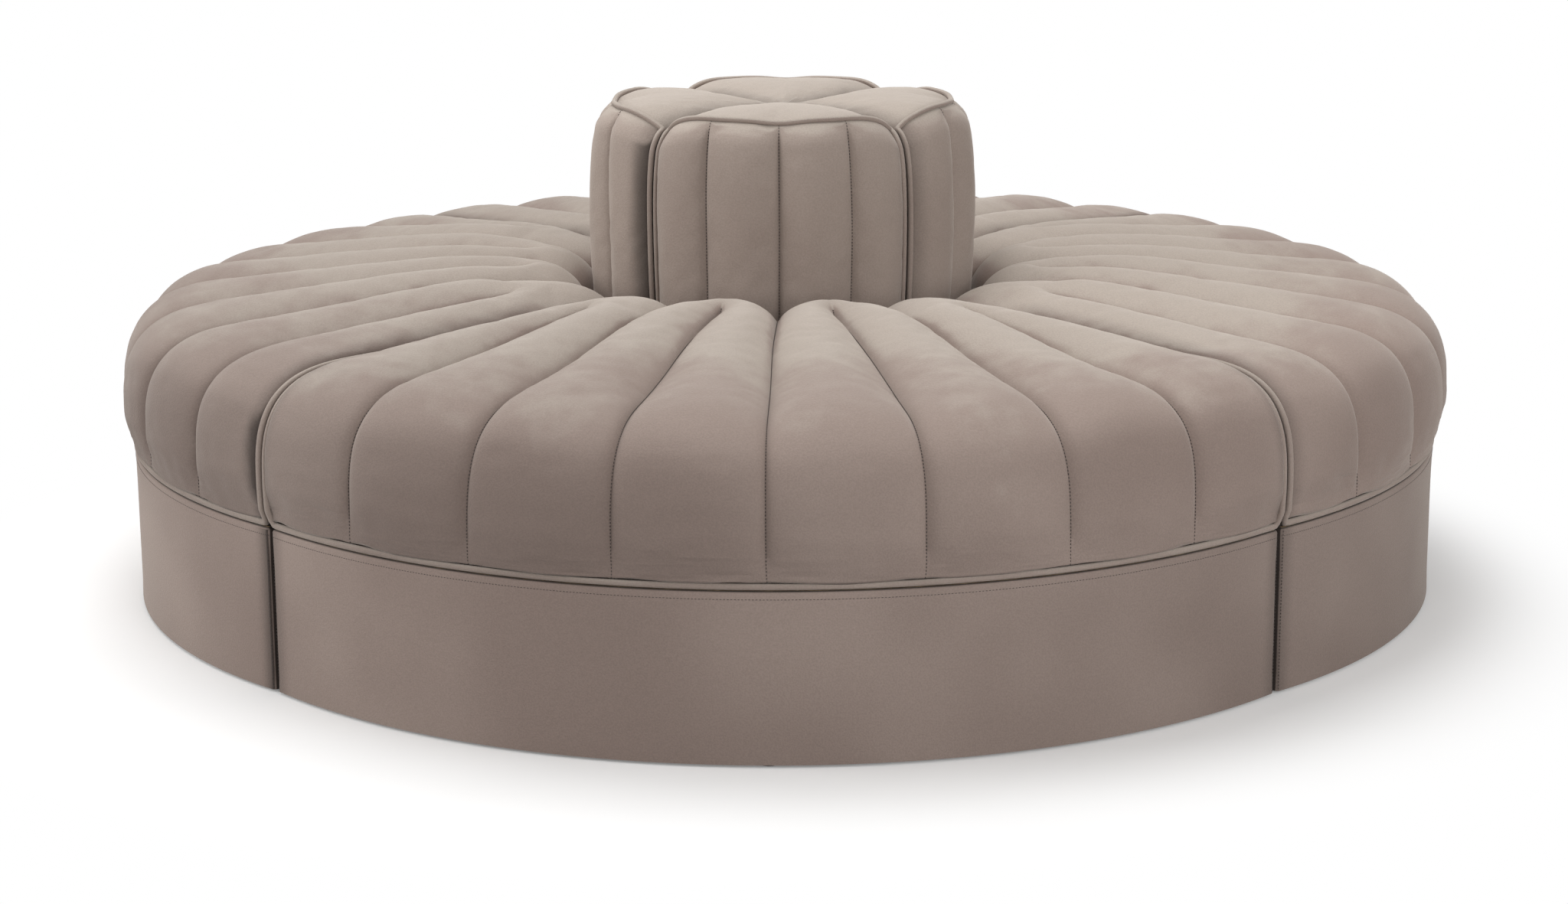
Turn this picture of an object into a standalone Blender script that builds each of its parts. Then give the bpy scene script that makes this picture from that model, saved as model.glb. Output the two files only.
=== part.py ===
"""Round sofa: four quarter modules pushed together round a four-lobed backrest.

Metres, +Z up. The origin is on the floor in the middle of the sofa.
Each module is modelled once, in a corner frame: its two flat sides lie along +X (left side)
and +Y (right side), and its curved front faces outwards between them.
Four turned empties then carry the front, right, rear and left modules.
"""
import math

import bmesh
import bpy
from mathutils import Matrix, Vector

# Whole sofa
BASE_RADIUS = 1.000
FRONT_BULGE = 0.028
BASE_HEIGHT = 0.242
MODULE_TURNS = {"front": -135.0, "right": -45.0, "rear": 45.0, "left": 135.0}
QUARTER = math.pi / 2
ARC_STEPS = 24

# Clearances
FIT = 0.0003
CUSHION_GAP = 0.0003
BASE_GAP = 0.008
WELD = 0.00001
OVERRUN = 0.010

# Feet and base
FOOT_HEIGHT = 0.010
FOOT_RADIUS = 0.015
FOOT_STEPS = 16
FOOT_SHARP_ANGLE = 40.0
FOOT_FROM_FRONT = 0.090
COVER_THICKNESS = 0.004
COVER_HEM = 0.004
COVER_CORNER = 0.006
CORNER_STEPS = 3
SIDE_PLY = 0.018
FRONT_PLY = 0.012
DECK_PLY = 0.015

# Clips that hold neighbouring modules together
CLIP_FROM_MIDDLE = 0.600
CLIP_STEEL = 0.003
CLIP_HEIGHT = 0.028
CLIP_PLATE_TOP = 0.095
CLIP_EASE = 0.0012
TONGUE_WIDTH = 0.050
TONGUE_REACH = 0.020
JAW_WIDTH = 0.070
JAW_SETBACK = 0.002
NOTCH_WIDTH = 0.100
NOTCH_TOP = 0.050

# Seat cushion: a quilted cover over a foam block
SEAM_HEIGHT = 0.454
SEAT_DOME = 0.034
SEAT_DOME_EXPONENT = 8.0
SEAT_DOME_START = 0.100
SEAT_DOME_FULL = 0.500
CHANNEL_RISE = 0.026
CHANNELS = 8
CHANNEL_EDGE_ANGLE = 10.4
SEAT_TO_BACK = 0.038
SEAT_BELLY_OVERHANG = 0.002
SEAT_BELLY_HEIGHT = 0.300
SEAT_FRONT_ROUND = 0.180
SEAT_BACK_ROUND = 0.105
SEAT_BACK_SHOULDER = 0.350
SEAT_ROUNDNESS = 3.2
CHANNEL_FADE = 0.060
MERGE_INNER_RADIUS = 0.420
MERGE_OUTER_RADIUS = 0.500
FRONT_RISE_SHARE = 0.62
CHANNEL_SHARES = (-1.0, -0.62, 0.0, 0.62)
ROUND_SHARES = (0.0, 0.28, 0.52, 0.76, 1.0)
FRONT_ROUND_SHARES = (0.0, 0.24, 0.44, 0.62, 0.8, 1.0)
TOP_SHARES = (0.06, 0.22, 0.55)
PUFF_EXPONENT = 0.6
PADDING_FRONT = 0.075
PADDING_BACK = 0.035
PADDING_SIDE = 0.025
PADDING_TOP = 0.040
FOAM_STEPS = 12

# Backrest lobe: a stuffed, quilted cover over two upright boards
BACK_TOP_EDGE = 0.754
BACK_RADIUS = 0.289
BACK_RISE = 0.018
BACK_CHANNELS = 4
BACK_BELLY_HEIGHT = 0.590
BACK_FOOT_INSET = 0.030
BACK_TOP_INSET = 0.028
BACK_ROUNDNESS = 2.4
BACK_SIDE_SHARE = 0.91
BACK_SIDE_EXPONENT = 4.0
BACK_CROWN = 0.010
BACK_TOP_SINK = 0.016
BACK_APEX_RADIUS = 0.006
BACK_LOWER_SHARES = (0.0, 0.34, 0.62, 0.84, 1.0)
BACK_UPPER_SHARES = (0.4, 0.7, 1.0)
BACK_TOP_SHARES = (0.12, 0.36, 0.68, 1.0)
BACK_FRAME_REACH = 0.205
BACK_FRAME_BOARD = 0.018
BACK_FRAME_COVERED = 0.014
BACK_FRAME_BELOW_EDGE = 0.055

# Sizes that follow from the others
half_chord = BASE_RADIUS * math.sin(QUARTER / 2)
front_depth = BASE_RADIUS - BASE_RADIUS * math.cos(QUARTER / 2) + FRONT_BULGE
front_arc_radius = (half_chord ** 2 + front_depth ** 2) / (2 * front_depth)
front_arc_offset = BASE_RADIUS + FRONT_BULGE - front_arc_radius
front_arc_centre = front_arc_offset * math.cos(QUARTER / 2)
half_gap = BASE_GAP / 2
panel_inset = COVER_THICKNESS + FIT
panel_side = half_gap + panel_inset
panel_inner_side = panel_side + SIDE_PLY
frame_bottom = FOOT_HEIGHT + FIT
frame_top = BASE_HEIGHT - DECK_PLY - FIT
cushion_bottom = BASE_HEIGHT + FIT
foam_top = SEAM_HEIGHT - PADDING_TOP
clip_face = panel_inner_side + FIT
seat_inner_radius = BACK_RADIUS + SEAT_TO_BACK
back_top_radius = BACK_RADIUS - BACK_TOP_INSET
seat_belly_radius = BASE_RADIUS + SEAT_BELLY_OVERHANG
back_frame_top = BACK_TOP_EDGE - BACK_FRAME_BELOW_EDGE

# Colours seen on the real materials
VELVET = (0.300, 0.245, 0.210, 1.0)
BIRCH_PLY = (0.620, 0.450, 0.270, 1.0)
PINE = (0.560, 0.380, 0.210, 1.0)
FOAM = (0.800, 0.740, 0.560, 1.0)
BLACK_PLASTIC = (0.020, 0.020, 0.022, 1.0)
ZINC_STEEL = (0.560, 0.570, 0.580, 1.0)


for old in list(bpy.data.objects):
    bpy.data.objects.remove(old, do_unlink=True)

sofa = bpy.data.collections.new("round_sofa")
bpy.context.scene.collection.children.link(sofa)
workshop = bpy.data.collections.new("workshop")
bpy.context.scene.collection.children.link(workshop)


def material(name, colour, roughness, metallic=0.0):
    """Principled material of one piece."""
    made = bpy.data.materials.new(name)
    made.use_nodes = True
    shader = made.node_tree.nodes["Principled BSDF"]
    shader.inputs["Base Color"].default_value = colour
    shader.inputs["Roughness"].default_value = roughness
    shader.inputs["Metallic"].default_value = metallic
    made.diffuse_color = colour
    return made


def closed(mesh):
    """Weld a mesh and turn its faces outwards."""
    bm = bmesh.new()
    bm.from_mesh(mesh)
    bmesh.ops.remove_doubles(bm, verts=bm.verts, dist=WELD)
    bmesh.ops.recalc_face_normals(bm, faces=bm.faces)
    bm.to_mesh(mesh)
    bm.free()
    return mesh


def bench(data, name="bench_piece"):
    """Put a curve or a mesh on the workbench."""
    piece = bpy.data.objects.new(name, data)
    workshop.objects.link(piece)
    return piece


def finished(piece):
    """Take a piece off the workbench as a plain mesh, with its modifiers applied."""
    depsgraph = bpy.context.evaluated_depsgraph_get()
    depsgraph.update()
    result = bpy.data.meshes.new_from_object(piece.evaluated_get(depsgraph))
    result.transform(piece.matrix_world)
    bpy.data.objects.remove(piece, do_unlink=True)
    return closed(result)


def prism(outline, bottom, top):
    """Upright plate with a flat outline of x, y points."""
    curve = bpy.data.curves.new("outline", "CURVE")
    curve.dimensions = "2D"
    curve.fill_mode = "BOTH"
    curve.extrude = (top - bottom) / 2
    spline = curve.splines.new("POLY")
    spline.points.add(len(outline) - 1)
    for point, (x, y) in zip(spline.points, outline):
        point.co = (x, y, 0, 1)
    spline.use_cyclic_u = True
    plate = bench(curve)
    plate.location.z = (bottom + top) / 2
    bpy.context.view_layer.update()
    return finished(plate)


def box(low, high):
    """Rectangular block between two opposite corners."""
    low, high = Vector(low), Vector(high)
    bm = bmesh.new()
    bmesh.ops.create_cube(bm, size=1)
    bmesh.ops.scale(bm, vec=high - low, verts=bm.verts)
    bmesh.ops.translate(bm, vec=(low + high) / 2, verts=bm.verts)
    mesh = bpy.data.meshes.new("box")
    bm.to_mesh(mesh)
    bm.free()
    return mesh


def cut(mesh, *cutters):
    """Cut each cutter out of a mesh."""
    piece = bench(mesh)
    held = []
    for cutter_mesh in cutters:
        cutter = bench(cutter_mesh, "cutter")
        cutter.hide_render = True
        cutter.display_type = "WIRE"
        boolean = piece.modifiers.new("cut", "BOOLEAN")
        boolean.operation = "DIFFERENCE"
        boolean.solver = "EXACT"
        boolean.object = cutter
        held.append(cutter)
    result = finished(piece)
    for cutter in held:
        bpy.data.objects.remove(cutter, do_unlink=True)
    return result


def wall(path, bottom, top, thickness):
    """Upright wall that follows a path of x, y points and is thickened to its inner side."""
    bm = bmesh.new()
    foot = [bm.verts.new((x, y, bottom)) for x, y in path]
    edges = [bm.edges.new(pair) for pair in zip(foot, foot[1:])]
    raised = bmesh.ops.extrude_edge_only(bm, edges=edges)["geom"]
    corners = [item for item in raised if isinstance(item, bmesh.types.BMVert)]
    bmesh.ops.translate(bm, vec=(0, 0, top - bottom), verts=corners)
    mesh = bpy.data.meshes.new("wall")
    bm.to_mesh(mesh)
    bm.free()
    piece = bench(mesh)
    solidify = piece.modifiers.new("thickness", "SOLIDIFY")
    solidify.thickness = thickness
    solidify.offset = 1
    solidify.use_even_offset = True
    return finished(piece)


def arc(radius, start, end, steps):
    """Points on a circle about the middle of the sofa."""
    turns = [start + (end - start) * step / steps for step in range(steps + 1)]
    return [(radius * math.cos(turn), radius * math.sin(turn)) for turn in turns]


def front_reach(inset, side):
    """How far a line beside a flat side runs before it meets the front, less an inset."""
    across = front_arc_centre - side
    return front_arc_centre + math.sqrt((front_arc_radius - inset) ** 2 - across ** 2)


def front_arc(inset, side, steps):
    """Points along the bulged front, less an inset, between two lines beside the flat sides."""
    radius = front_arc_radius - inset
    lean = math.asin((side - front_arc_centre) / radius)
    points = arc(radius, lean, QUARTER - lean, steps)
    return [(front_arc_centre + x, front_arc_centre + y) for x, y in points]


def front_bulge(turn):
    """How far the front stands out past a true circle at an angle."""
    off_middle = turn - QUARTER / 2
    along = front_arc_offset * math.cos(off_middle)
    across = front_arc_offset * math.sin(off_middle)
    return along + math.sqrt(front_arc_radius ** 2 - across ** 2) - BASE_RADIUS


def rounded_quarter(inset, side, corner):
    """Outline of a quarter's front with rounded corners, from the left side to the right."""
    offset = side + corner
    along = front_reach(inset + corner, offset)
    lean = math.atan2(offset - front_arc_centre, along - front_arc_centre)
    points = []
    for step in range(CORNER_STEPS):
        turn = -QUARTER + (lean + QUARTER) * step / CORNER_STEPS
        points.append((along + corner * math.cos(turn), offset + corner * math.sin(turn)))
    end = offset + corner * math.sin(lean)
    points += front_arc(inset, end, ARC_STEPS)
    return points + [(y, x) for x, y in reversed(points[:CORNER_STEPS])]


def smooth(share):
    """Soft step from 0 to 1."""
    share = max(0.0, min(1.0, share))
    return share * share * (3 - 2 * share)


def puff(place):
    """Height of a stuffed channel from 0 at its seams, -1 and 1, to 1 at its crest."""
    return max(0.0, 1 - place * place) ** PUFF_EXPONENT


def rounding(share, exponent):
    """Point on a rounded corner, from (0, 1) to (1, 0)."""
    turn = share * QUARTER
    return math.sin(turn) ** (2 / exponent), max(0.0, math.cos(turn)) ** (2 / exponent)


def outward_normals(profile):
    """Direction out of a profile that runs from its inner foot over the top to its outer foot."""
    normals = []
    last = len(profile) - 1
    for index in range(len(profile)):
        before = Vector(profile[max(0, index - 1)])
        after = Vector(profile[min(last, index + 1)])
        along = (after - before).normalized()
        normals.append(Vector((-along.y, along.x)))
    return normals


def loft(rows):
    """Solid over rows of points: a grid for its top and front, flat sides and a flat bottom."""
    row_count = len(rows)
    column_count = len(rows[0])
    bm = bmesh.new()
    bmesh.ops.create_grid(bm, x_segments=column_count - 1, y_segments=row_count - 1, size=1)
    grid = [[None] * column_count for _ in range(row_count)]
    for vert in bm.verts:
        column = round((vert.co.x + 1) / 2 * (column_count - 1))
        row = round((vert.co.y + 1) / 2 * (row_count - 1))
        grid[row][column] = vert
    for row, points in zip(grid, rows):
        for vert, point in zip(row, points):
            vert.co = point
    left_side = [row[0] for row in grid]
    right_side = [row[-1] for row in grid]
    bottom = grid[0] + list(reversed(grid[-1]))
    for boundary in (left_side, right_side, bottom):
        bm.faces.new(boundary)
    mesh = bpy.data.meshes.new("loft")
    bm.to_mesh(mesh)
    bm.free()
    return closed(mesh)


def quilt_columns(seams):
    """Angle, channel place and lobe place of each column of a quilted cover."""
    columns = []
    for index, (start, end) in enumerate(zip(seams, seams[1:])):
        for share in CHANNEL_SHARES:
            turn = start + (end - start) * (share + 1) / 2
            first = index - index % 2
            lobe_start, lobe_end = seams[first], seams[first + 2]
            lobe = 2 * (turn - lobe_start) / (lobe_end - lobe_start) - 1
            columns.append((turn, share, lobe))
    columns.append((seams[-1], 1.0, 1.0))
    return columns


def seat_seams():
    """Angles of the seams across a seat module, with its two flat sides."""
    edge = math.radians(CHANNEL_EDGE_ANGLE)
    middle = (QUARTER - 2 * edge) / (CHANNELS - 2)
    inner = [edge + middle * index for index in range(CHANNELS - 1)]
    return [0.0] + inner + [QUARTER]


def seat_profile():
    """Seam line of the seat from its inner foot to its outer foot, as radius and height."""
    back_top = seat_inner_radius + SEAT_BACK_ROUND
    front_top = seat_belly_radius - SEAT_FRONT_ROUND
    profile = [(seat_inner_radius, cushion_bottom)]
    for share in ROUND_SHARES:
        inwards, upwards = rounding(1 - share, SEAT_ROUNDNESS)
        height = SEAT_BACK_SHOULDER + (SEAM_HEIGHT - SEAT_BACK_SHOULDER) * upwards
        profile.append((back_top - SEAT_BACK_ROUND * inwards, height))
    for share in TOP_SHARES:
        profile.append((back_top + (front_top - back_top) * share, SEAM_HEIGHT))
    for share in FRONT_ROUND_SHARES:
        outwards, upwards = rounding(share, SEAT_ROUNDNESS)
        height = SEAT_BELLY_HEIGHT + (SEAM_HEIGHT - SEAT_BELLY_HEIGHT) * upwards
        profile.append((front_top + SEAT_FRONT_ROUND * outwards, height))
    profile.append((BASE_RADIUS, cushion_bottom))
    return profile


def drawn_in(turn):
    """How far a backrest lobe and the seat round it are drawn in towards the flat sides."""
    across = abs(2 * turn / QUARTER - 1)
    return (1 - BACK_SIDE_SHARE) * across ** BACK_SIDE_EXPONENT


def seat_dome(radius, height, turn):
    """How far the seat is stuffed up between its flat sides, more towards the backrest."""
    across = abs(2 * turn / QUARTER - 1)
    depth = BASE_RADIUS - radius
    inwards = smooth((depth - SEAT_DOME_START) / (SEAT_DOME_FULL - SEAT_DOME_START))
    upwards = (height - cushion_bottom) / (SEAM_HEIGHT - cushion_bottom)
    return SEAT_DOME * inwards * upwards * (1 - across ** SEAT_DOME_EXPONENT)


def seat_cover_mesh():
    """Channelled seat cover, hollow below for its foam."""
    profile = seat_profile()
    shift = CUSHION_GAP / 2
    rows = []
    for (radius, height), normal in zip(profile, outward_normals(profile)):
        fade = smooth((height - cushion_bottom) / CHANNEL_FADE)
        split = smooth((radius - MERGE_INNER_RADIUS) / (MERGE_OUTER_RADIUS - MERGE_INNER_RADIUS))
        steepness = max(0.0, normal.x)
        rise = CHANNEL_RISE * fade * (1 - (1 - FRONT_RISE_SHARE) * steepness)
        near_back = 1 - smooth((radius - seat_inner_radius) / SEAT_BACK_ROUND)
        near_front = smooth((radius - seat_inner_radius) / (BASE_RADIUS - seat_inner_radius))
        row = []
        for turn, channel, lobe in quilt_columns(seat_seams()):
            lift = rise * (split * puff(channel) + (1 - split) * puff(lobe))
            out = radius + lift * normal.x + near_front * front_bulge(turn)
            out -= near_back * drawn_in(turn) * seat_inner_radius
            up = height + lift * normal.y + seat_dome(radius, height, turn)
            row.append((out * math.cos(turn) + shift, out * math.sin(turn) + shift, up))
        rows.append(row)
    return cut(loft(rows), prism(foam_outline(FIT), cushion_bottom - OVERRUN, foam_top + FIT))


def foam_outline(clearance):
    """Plan of the seat foam, grown by a clearance."""
    side = PADDING_SIDE - clearance
    inner = seat_inner_radius + PADDING_BACK - clearance
    lean = math.asin(side / inner)
    outside = front_arc(PADDING_FRONT - clearance, side, FOAM_STEPS)
    return outside + arc(inner, QUARTER - lean, lean, FOAM_STEPS)


def back_profile():
    """Seam line of a backrest lobe from its foot over the top to the middle of the sofa."""
    drop = BACK_BELLY_HEIGHT - cushion_bottom
    profile = []
    for share in BACK_LOWER_SHARES:
        height = cushion_bottom + drop * share
        radius = BACK_RADIUS - BACK_FOOT_INSET * (1 - share) ** 2
        profile.append((radius, height))
    for share in BACK_UPPER_SHARES:
        outwards, upwards = rounding(1 - share, BACK_ROUNDNESS)
        radius = back_top_radius + BACK_TOP_INSET * outwards
        profile.append((radius, BACK_BELLY_HEIGHT + (BACK_TOP_EDGE - BACK_BELLY_HEIGHT) * upwards))
    for share in BACK_TOP_SHARES:
        radius = back_top_radius + (BACK_APEX_RADIUS - back_top_radius) * share
        crown = BACK_CROWN * math.sin(math.pi * math.sqrt(share))
        profile.append((radius, BACK_TOP_EDGE + crown))
    return profile


def back_cover_mesh():
    """Channelled backrest cover with its stuffing, slotted below for its frame."""
    profile = back_profile()
    seams = [QUARTER * index / BACK_CHANNELS for index in range(BACK_CHANNELS + 1)]
    shift = CUSHION_GAP / 2
    rows = []
    for index, (radius, height) in enumerate(profile):
        on_face = index < len(profile) - len(BACK_TOP_SHARES)
        fade = smooth((height - cushion_bottom) / CHANNEL_FADE)
        fade *= smooth((BACK_TOP_EDGE - height) / CHANNEL_FADE)
        rise = BACK_RISE * fade if on_face else 0.0
        over_top = 0.0 if on_face else 1.0
        row = []
        for turn, channel, _ in quilt_columns(seams):
            across = abs(2 * turn / QUARTER - 1)
            out = radius * (1 - drawn_in(turn)) + rise * puff(channel)
            near_edge = radius / back_top_radius
            up = height - over_top * BACK_TOP_SINK * across ** 2 * min(1.0, near_edge)
            row.append((out * math.cos(turn) + shift, out * math.sin(turn) + shift, up))
        rows.append(row)
    pocket = back_frame_outline(FIT)
    return cut(loft_to_middle(rows), prism(pocket, cushion_bottom - OVERRUN, back_frame_top + FIT))


def loft_to_middle(rows):
    """Solid whose last row lies near the middle of the sofa, closed down to the deck."""
    foot = [(x, y, rows[0][0][2]) for x, y, _ in rows[-1]]
    return loft(rows + [foot])


def back_frame_outline(clearance):
    """Plan of the two upright boards that carry a backrest lobe, grown by a clearance."""
    near = BACK_FRAME_COVERED - clearance
    inner = BACK_FRAME_COVERED + BACK_FRAME_BOARD + clearance
    end = BACK_FRAME_REACH + clearance
    return [(near, near), (end, near), (end, inner), (inner, inner), (inner, end), (near, end)]


def deck_mesh():
    """Plywood deck over the panels, with rounded front corners."""
    outline = rounded_quarter(panel_inset, panel_side, COVER_CORNER - panel_inset)
    return prism([(panel_side, panel_side)] + outline, BASE_HEIGHT - DECK_PLY, BASE_HEIGHT)


def front_panel_mesh():
    """Bent plywood front between the rounded corners of the cover."""
    path = front_arc(panel_inset, half_gap + COVER_CORNER, ARC_STEPS)
    return wall(path, frame_bottom, frame_top, FRONT_PLY)


def clip_notch(on_left):
    """Block that opens the bottom edge of a side for a clip."""
    low = (CLIP_FROM_MIDDLE - NOTCH_WIDTH / 2, -OVERRUN, -OVERRUN)
    high = (CLIP_FROM_MIDDLE + NOTCH_WIDTH / 2, panel_inner_side + OVERRUN, NOTCH_TOP)
    if on_left:
        return box(low, high)
    return box((low[1], low[0], low[2]), (high[1], high[0], high[2]))


def panel_reach():
    """How far the side panels run before they meet the front panel."""
    inset = panel_inset + FRONT_PLY + FIT
    return min(front_reach(inset, panel_side), front_reach(inset, panel_inner_side))


def left_panel_mesh():
    """Left side panel, which covers the end of the right one in the middle of the sofa."""
    low = (panel_side, panel_side, frame_bottom)
    high = (panel_reach(), panel_inner_side, frame_top)
    return cut(box(low, high), clip_notch(True))


def right_panel_mesh():
    """Right side panel, butted against the left one."""
    low = (panel_side, panel_inner_side + FIT, frame_bottom)
    high = (panel_inner_side, panel_reach(), frame_top)
    return cut(box(low, high), clip_notch(False))


def base_cover_mesh():
    """Velvet skin round the front and both sides of the base, notched for the clips."""
    front = rounded_quarter(0, half_gap, COVER_CORNER)
    path = [(panel_side, half_gap)] + front + [(half_gap, panel_side)]
    skin = wall(path, COVER_HEM, BASE_HEIGHT, COVER_THICKNESS)
    return cut(skin, clip_notch(True), clip_notch(False))


def clip_bar(outline, width, on_left):
    """Bent steel clip: an outline across the side, drawn out along it."""
    start = CLIP_FROM_MIDDLE - width / 2
    mesh = prism(outline, start, start + width)
    if on_left:
        mesh.transform(Matrix(((0, 0, 1, 0), (1, 0, 0, 0), (0, 1, 0, 0), (0, 0, 0, 1))))
    else:
        mesh.transform(Matrix(((1, 0, 0, 0), (0, 0, 1, 0), (0, 1, 0, 0), (0, 0, 0, 1))))
    return closed(mesh)


def tongue_mesh():
    """Flat tongue on the left side, which reaches into the jaw of the next module."""
    back = clip_face + CLIP_STEEL
    outline = [
        (-TONGUE_REACH, CLIP_HEIGHT),
        (back, CLIP_HEIGHT),
        (back, CLIP_PLATE_TOP),
        (clip_face, CLIP_PLATE_TOP),
        (clip_face, CLIP_HEIGHT + CLIP_STEEL),
        (-TONGUE_REACH, CLIP_HEIGHT + CLIP_STEEL),
    ]
    return clip_bar(outline, TONGUE_WIDTH, True)


def jaw_mesh():
    """Jaw on the right side: two lips and the plate that carries them."""
    back = clip_face + CLIP_STEEL
    slot_bottom = CLIP_HEIGHT - FIT
    slot_top = CLIP_HEIGHT + CLIP_STEEL + CLIP_EASE
    outline = [
        (JAW_SETBACK, slot_bottom - CLIP_STEEL),
        (back, slot_bottom - CLIP_STEEL),
        (back, CLIP_PLATE_TOP),
        (clip_face, CLIP_PLATE_TOP),
        (clip_face, slot_top + CLIP_STEEL),
        (JAW_SETBACK, slot_top + CLIP_STEEL),
        (JAW_SETBACK, slot_top),
        (clip_face, slot_top),
        (clip_face, slot_bottom),
        (JAW_SETBACK, slot_bottom),
    ]
    return clip_bar(outline, JAW_WIDTH, False)


def foot_mesh(x, y):
    """Round plastic glide under the frame."""
    bm = bmesh.new()
    bmesh.ops.create_cone(
        bm,
        cap_ends=True,
        segments=FOOT_STEPS,
        radius1=FOOT_RADIUS,
        radius2=FOOT_RADIUS,
        depth=FOOT_HEIGHT,
        matrix=Matrix.Translation((x, y, FOOT_HEIGHT / 2)),
    )
    mesh = bpy.data.meshes.new("foot")
    bm.to_mesh(mesh)
    bm.free()
    mesh.shade_smooth()
    mesh.set_sharp_from_angle(angle=math.radians(FOOT_SHARP_ANGLE))
    return mesh


def module_pieces():
    """Name, mesh and material of each piece of one module."""
    velvet_seat = material("seat_velvet", VELVET, 0.75)
    velvet_back = material("back_velvet", VELVET, 0.75)
    velvet_base = material("base_velvet", VELVET, 0.75)
    foam = material("seat_foam", FOAM, 0.95)
    ply = material("birch_plywood", BIRCH_PLY, 0.6)
    pine = material("pine_frame", PINE, 0.6)
    plastic = material("foot_plastic", BLACK_PLASTIC, 0.45)
    steel = material("clip_steel", ZINC_STEEL, 0.35, 1.0)
    far = front_reach(panel_inset, panel_inner_side) - FOOT_FROM_FRONT
    front_inner_face = BASE_RADIUS + FRONT_BULGE - panel_inset - FRONT_PLY
    front_foot = (front_inner_face - FOOT_RADIUS / 2) * math.cos(QUARTER / 2)
    corner = panel_side + SIDE_PLY / 2 + FOOT_RADIUS / 2
    foam_block = prism(foam_outline(0.0), cushion_bottom, foam_top)
    back_frame = prism(back_frame_outline(0.0), cushion_bottom, back_frame_top)
    return [
        ("seat_cover", seat_cover_mesh(), velvet_seat),
        ("seat_foam", foam_block, foam),
        ("seat_deck", deck_mesh(), ply),
        ("front_panel", front_panel_mesh(), ply),
        ("side_panel_left", left_panel_mesh(), ply),
        ("side_panel_right", right_panel_mesh(), ply),
        ("base_cover", base_cover_mesh(), velvet_base),
        ("back_frame", back_frame, pine),
        ("back_cover", back_cover_mesh(), velvet_back),
        ("foot_left", foot_mesh(far, panel_inner_side), plastic),
        ("foot_right", foot_mesh(panel_inner_side, far), plastic),
        ("foot_front", foot_mesh(front_foot, front_foot), plastic),
        ("foot_inner", foot_mesh(corner, corner), plastic),
        ("clip_tongue", tongue_mesh(), steel),
        ("clip_jaw", jaw_mesh(), steel),
    ]


def place_module(name, turn, pieces):
    """Empty that carries one module, with its own copy of every piece."""
    carrier = bpy.data.objects.new(name + "_module", None)
    carrier.rotation_euler.z = math.radians(turn)
    sofa.objects.link(carrier)
    for piece, mesh, finish in pieces:
        node = bpy.data.objects.new(name + "_" + piece, mesh.copy())
        node.data.materials.clear()
        node.data.materials.append(finish)
        node.parent = carrier
        sofa.objects.link(node)


module = module_pieces()
for side_name, side_turn in MODULE_TURNS.items():
    place_module(side_name, side_turn, module)
bpy.data.collections.remove(workshop)
bpy.context.view_layer.update()
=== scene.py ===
"""Round sofa in taupe velvet: four quarter modules round a four-lobed backrest.

Metres, +Z up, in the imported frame. Each module is dressed once in a corner frame, where its
flat sides lie along +X (left side) and +Y (right side), and is then turned to its place.
"""
import math

import bmesh
import bpy
import numpy as np
from mathutils import Matrix, Vector, noise


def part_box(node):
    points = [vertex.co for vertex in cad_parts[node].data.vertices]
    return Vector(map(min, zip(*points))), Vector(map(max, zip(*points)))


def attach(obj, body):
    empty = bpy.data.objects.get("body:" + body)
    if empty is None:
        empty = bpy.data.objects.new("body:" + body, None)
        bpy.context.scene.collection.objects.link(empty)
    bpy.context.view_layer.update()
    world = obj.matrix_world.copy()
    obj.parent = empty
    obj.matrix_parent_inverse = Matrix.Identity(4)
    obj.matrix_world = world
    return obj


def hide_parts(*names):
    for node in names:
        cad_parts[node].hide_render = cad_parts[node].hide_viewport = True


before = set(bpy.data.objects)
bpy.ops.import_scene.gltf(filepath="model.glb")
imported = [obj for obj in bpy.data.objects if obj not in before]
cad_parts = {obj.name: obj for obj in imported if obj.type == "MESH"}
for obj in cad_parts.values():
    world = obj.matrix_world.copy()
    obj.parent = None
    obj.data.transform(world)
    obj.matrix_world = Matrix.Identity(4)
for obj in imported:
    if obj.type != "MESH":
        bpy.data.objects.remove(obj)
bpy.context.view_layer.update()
scene = bpy.context.scene

# Stage
# A photographer's white sweep: a pale floor that keeps the soft shadow and runs out to white,
# a large soft box overhead, one in front, one on each side and the even light of the room.
CAMERA_LENS = 73.828
CAMERA_SENSOR = 36.0
CAMERA_FAR = 200.0
CAMERA_DISTANCE = 5.05563
CAMERA_HEIGHT = 1.39241
CAMERA_TURN = 0.02202
CAMERA_PITCH = 0.23474
CAMERA_ROLL = -0.00507
ROOM_LIGHT = 0.30
ROOM_COLOUR = (1.0, 0.985, 0.965, 1)
WHITE = (1, 1, 1, 1)
PAPER = (0.84, 0.84, 0.84, 1)
PAPER_BOUNCE = (0.45, 0.45, 0.45, 1)
PAPER_GLOW = 0.16
FLOOR_SIZE = 60.0
FLOOR_FADE = (1.06, 1.38)
FLOOR_FADE_CENTRE = (-0.05, -0.10, 0.0)
# Name, place, target, size and power of each soft box
SOFT_BOXES = (
    ("overhead_box", (-0.7, 0.6, 4.2), (0, 0, 0.3), 3.2, 128.0),
    ("front_box", (1.5, -5.3, 1.9), (0, 0, 0.45), 2.8, 98.0),
    ("left_box", (-4.4, -1.2, 1.8), (-0.4, 0, 0.35), 2.2, 84.0),
    ("right_box", (4.3, -2.2, 1.7), (0.4, 0, 0.35), 2.2, 46.0),
)


def placed(name, data):
    """Object in the scene for a mesh, a curve, a lamp or a camera."""
    item = bpy.data.objects.new(name, data)
    scene.collection.objects.link(item)
    return item


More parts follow.
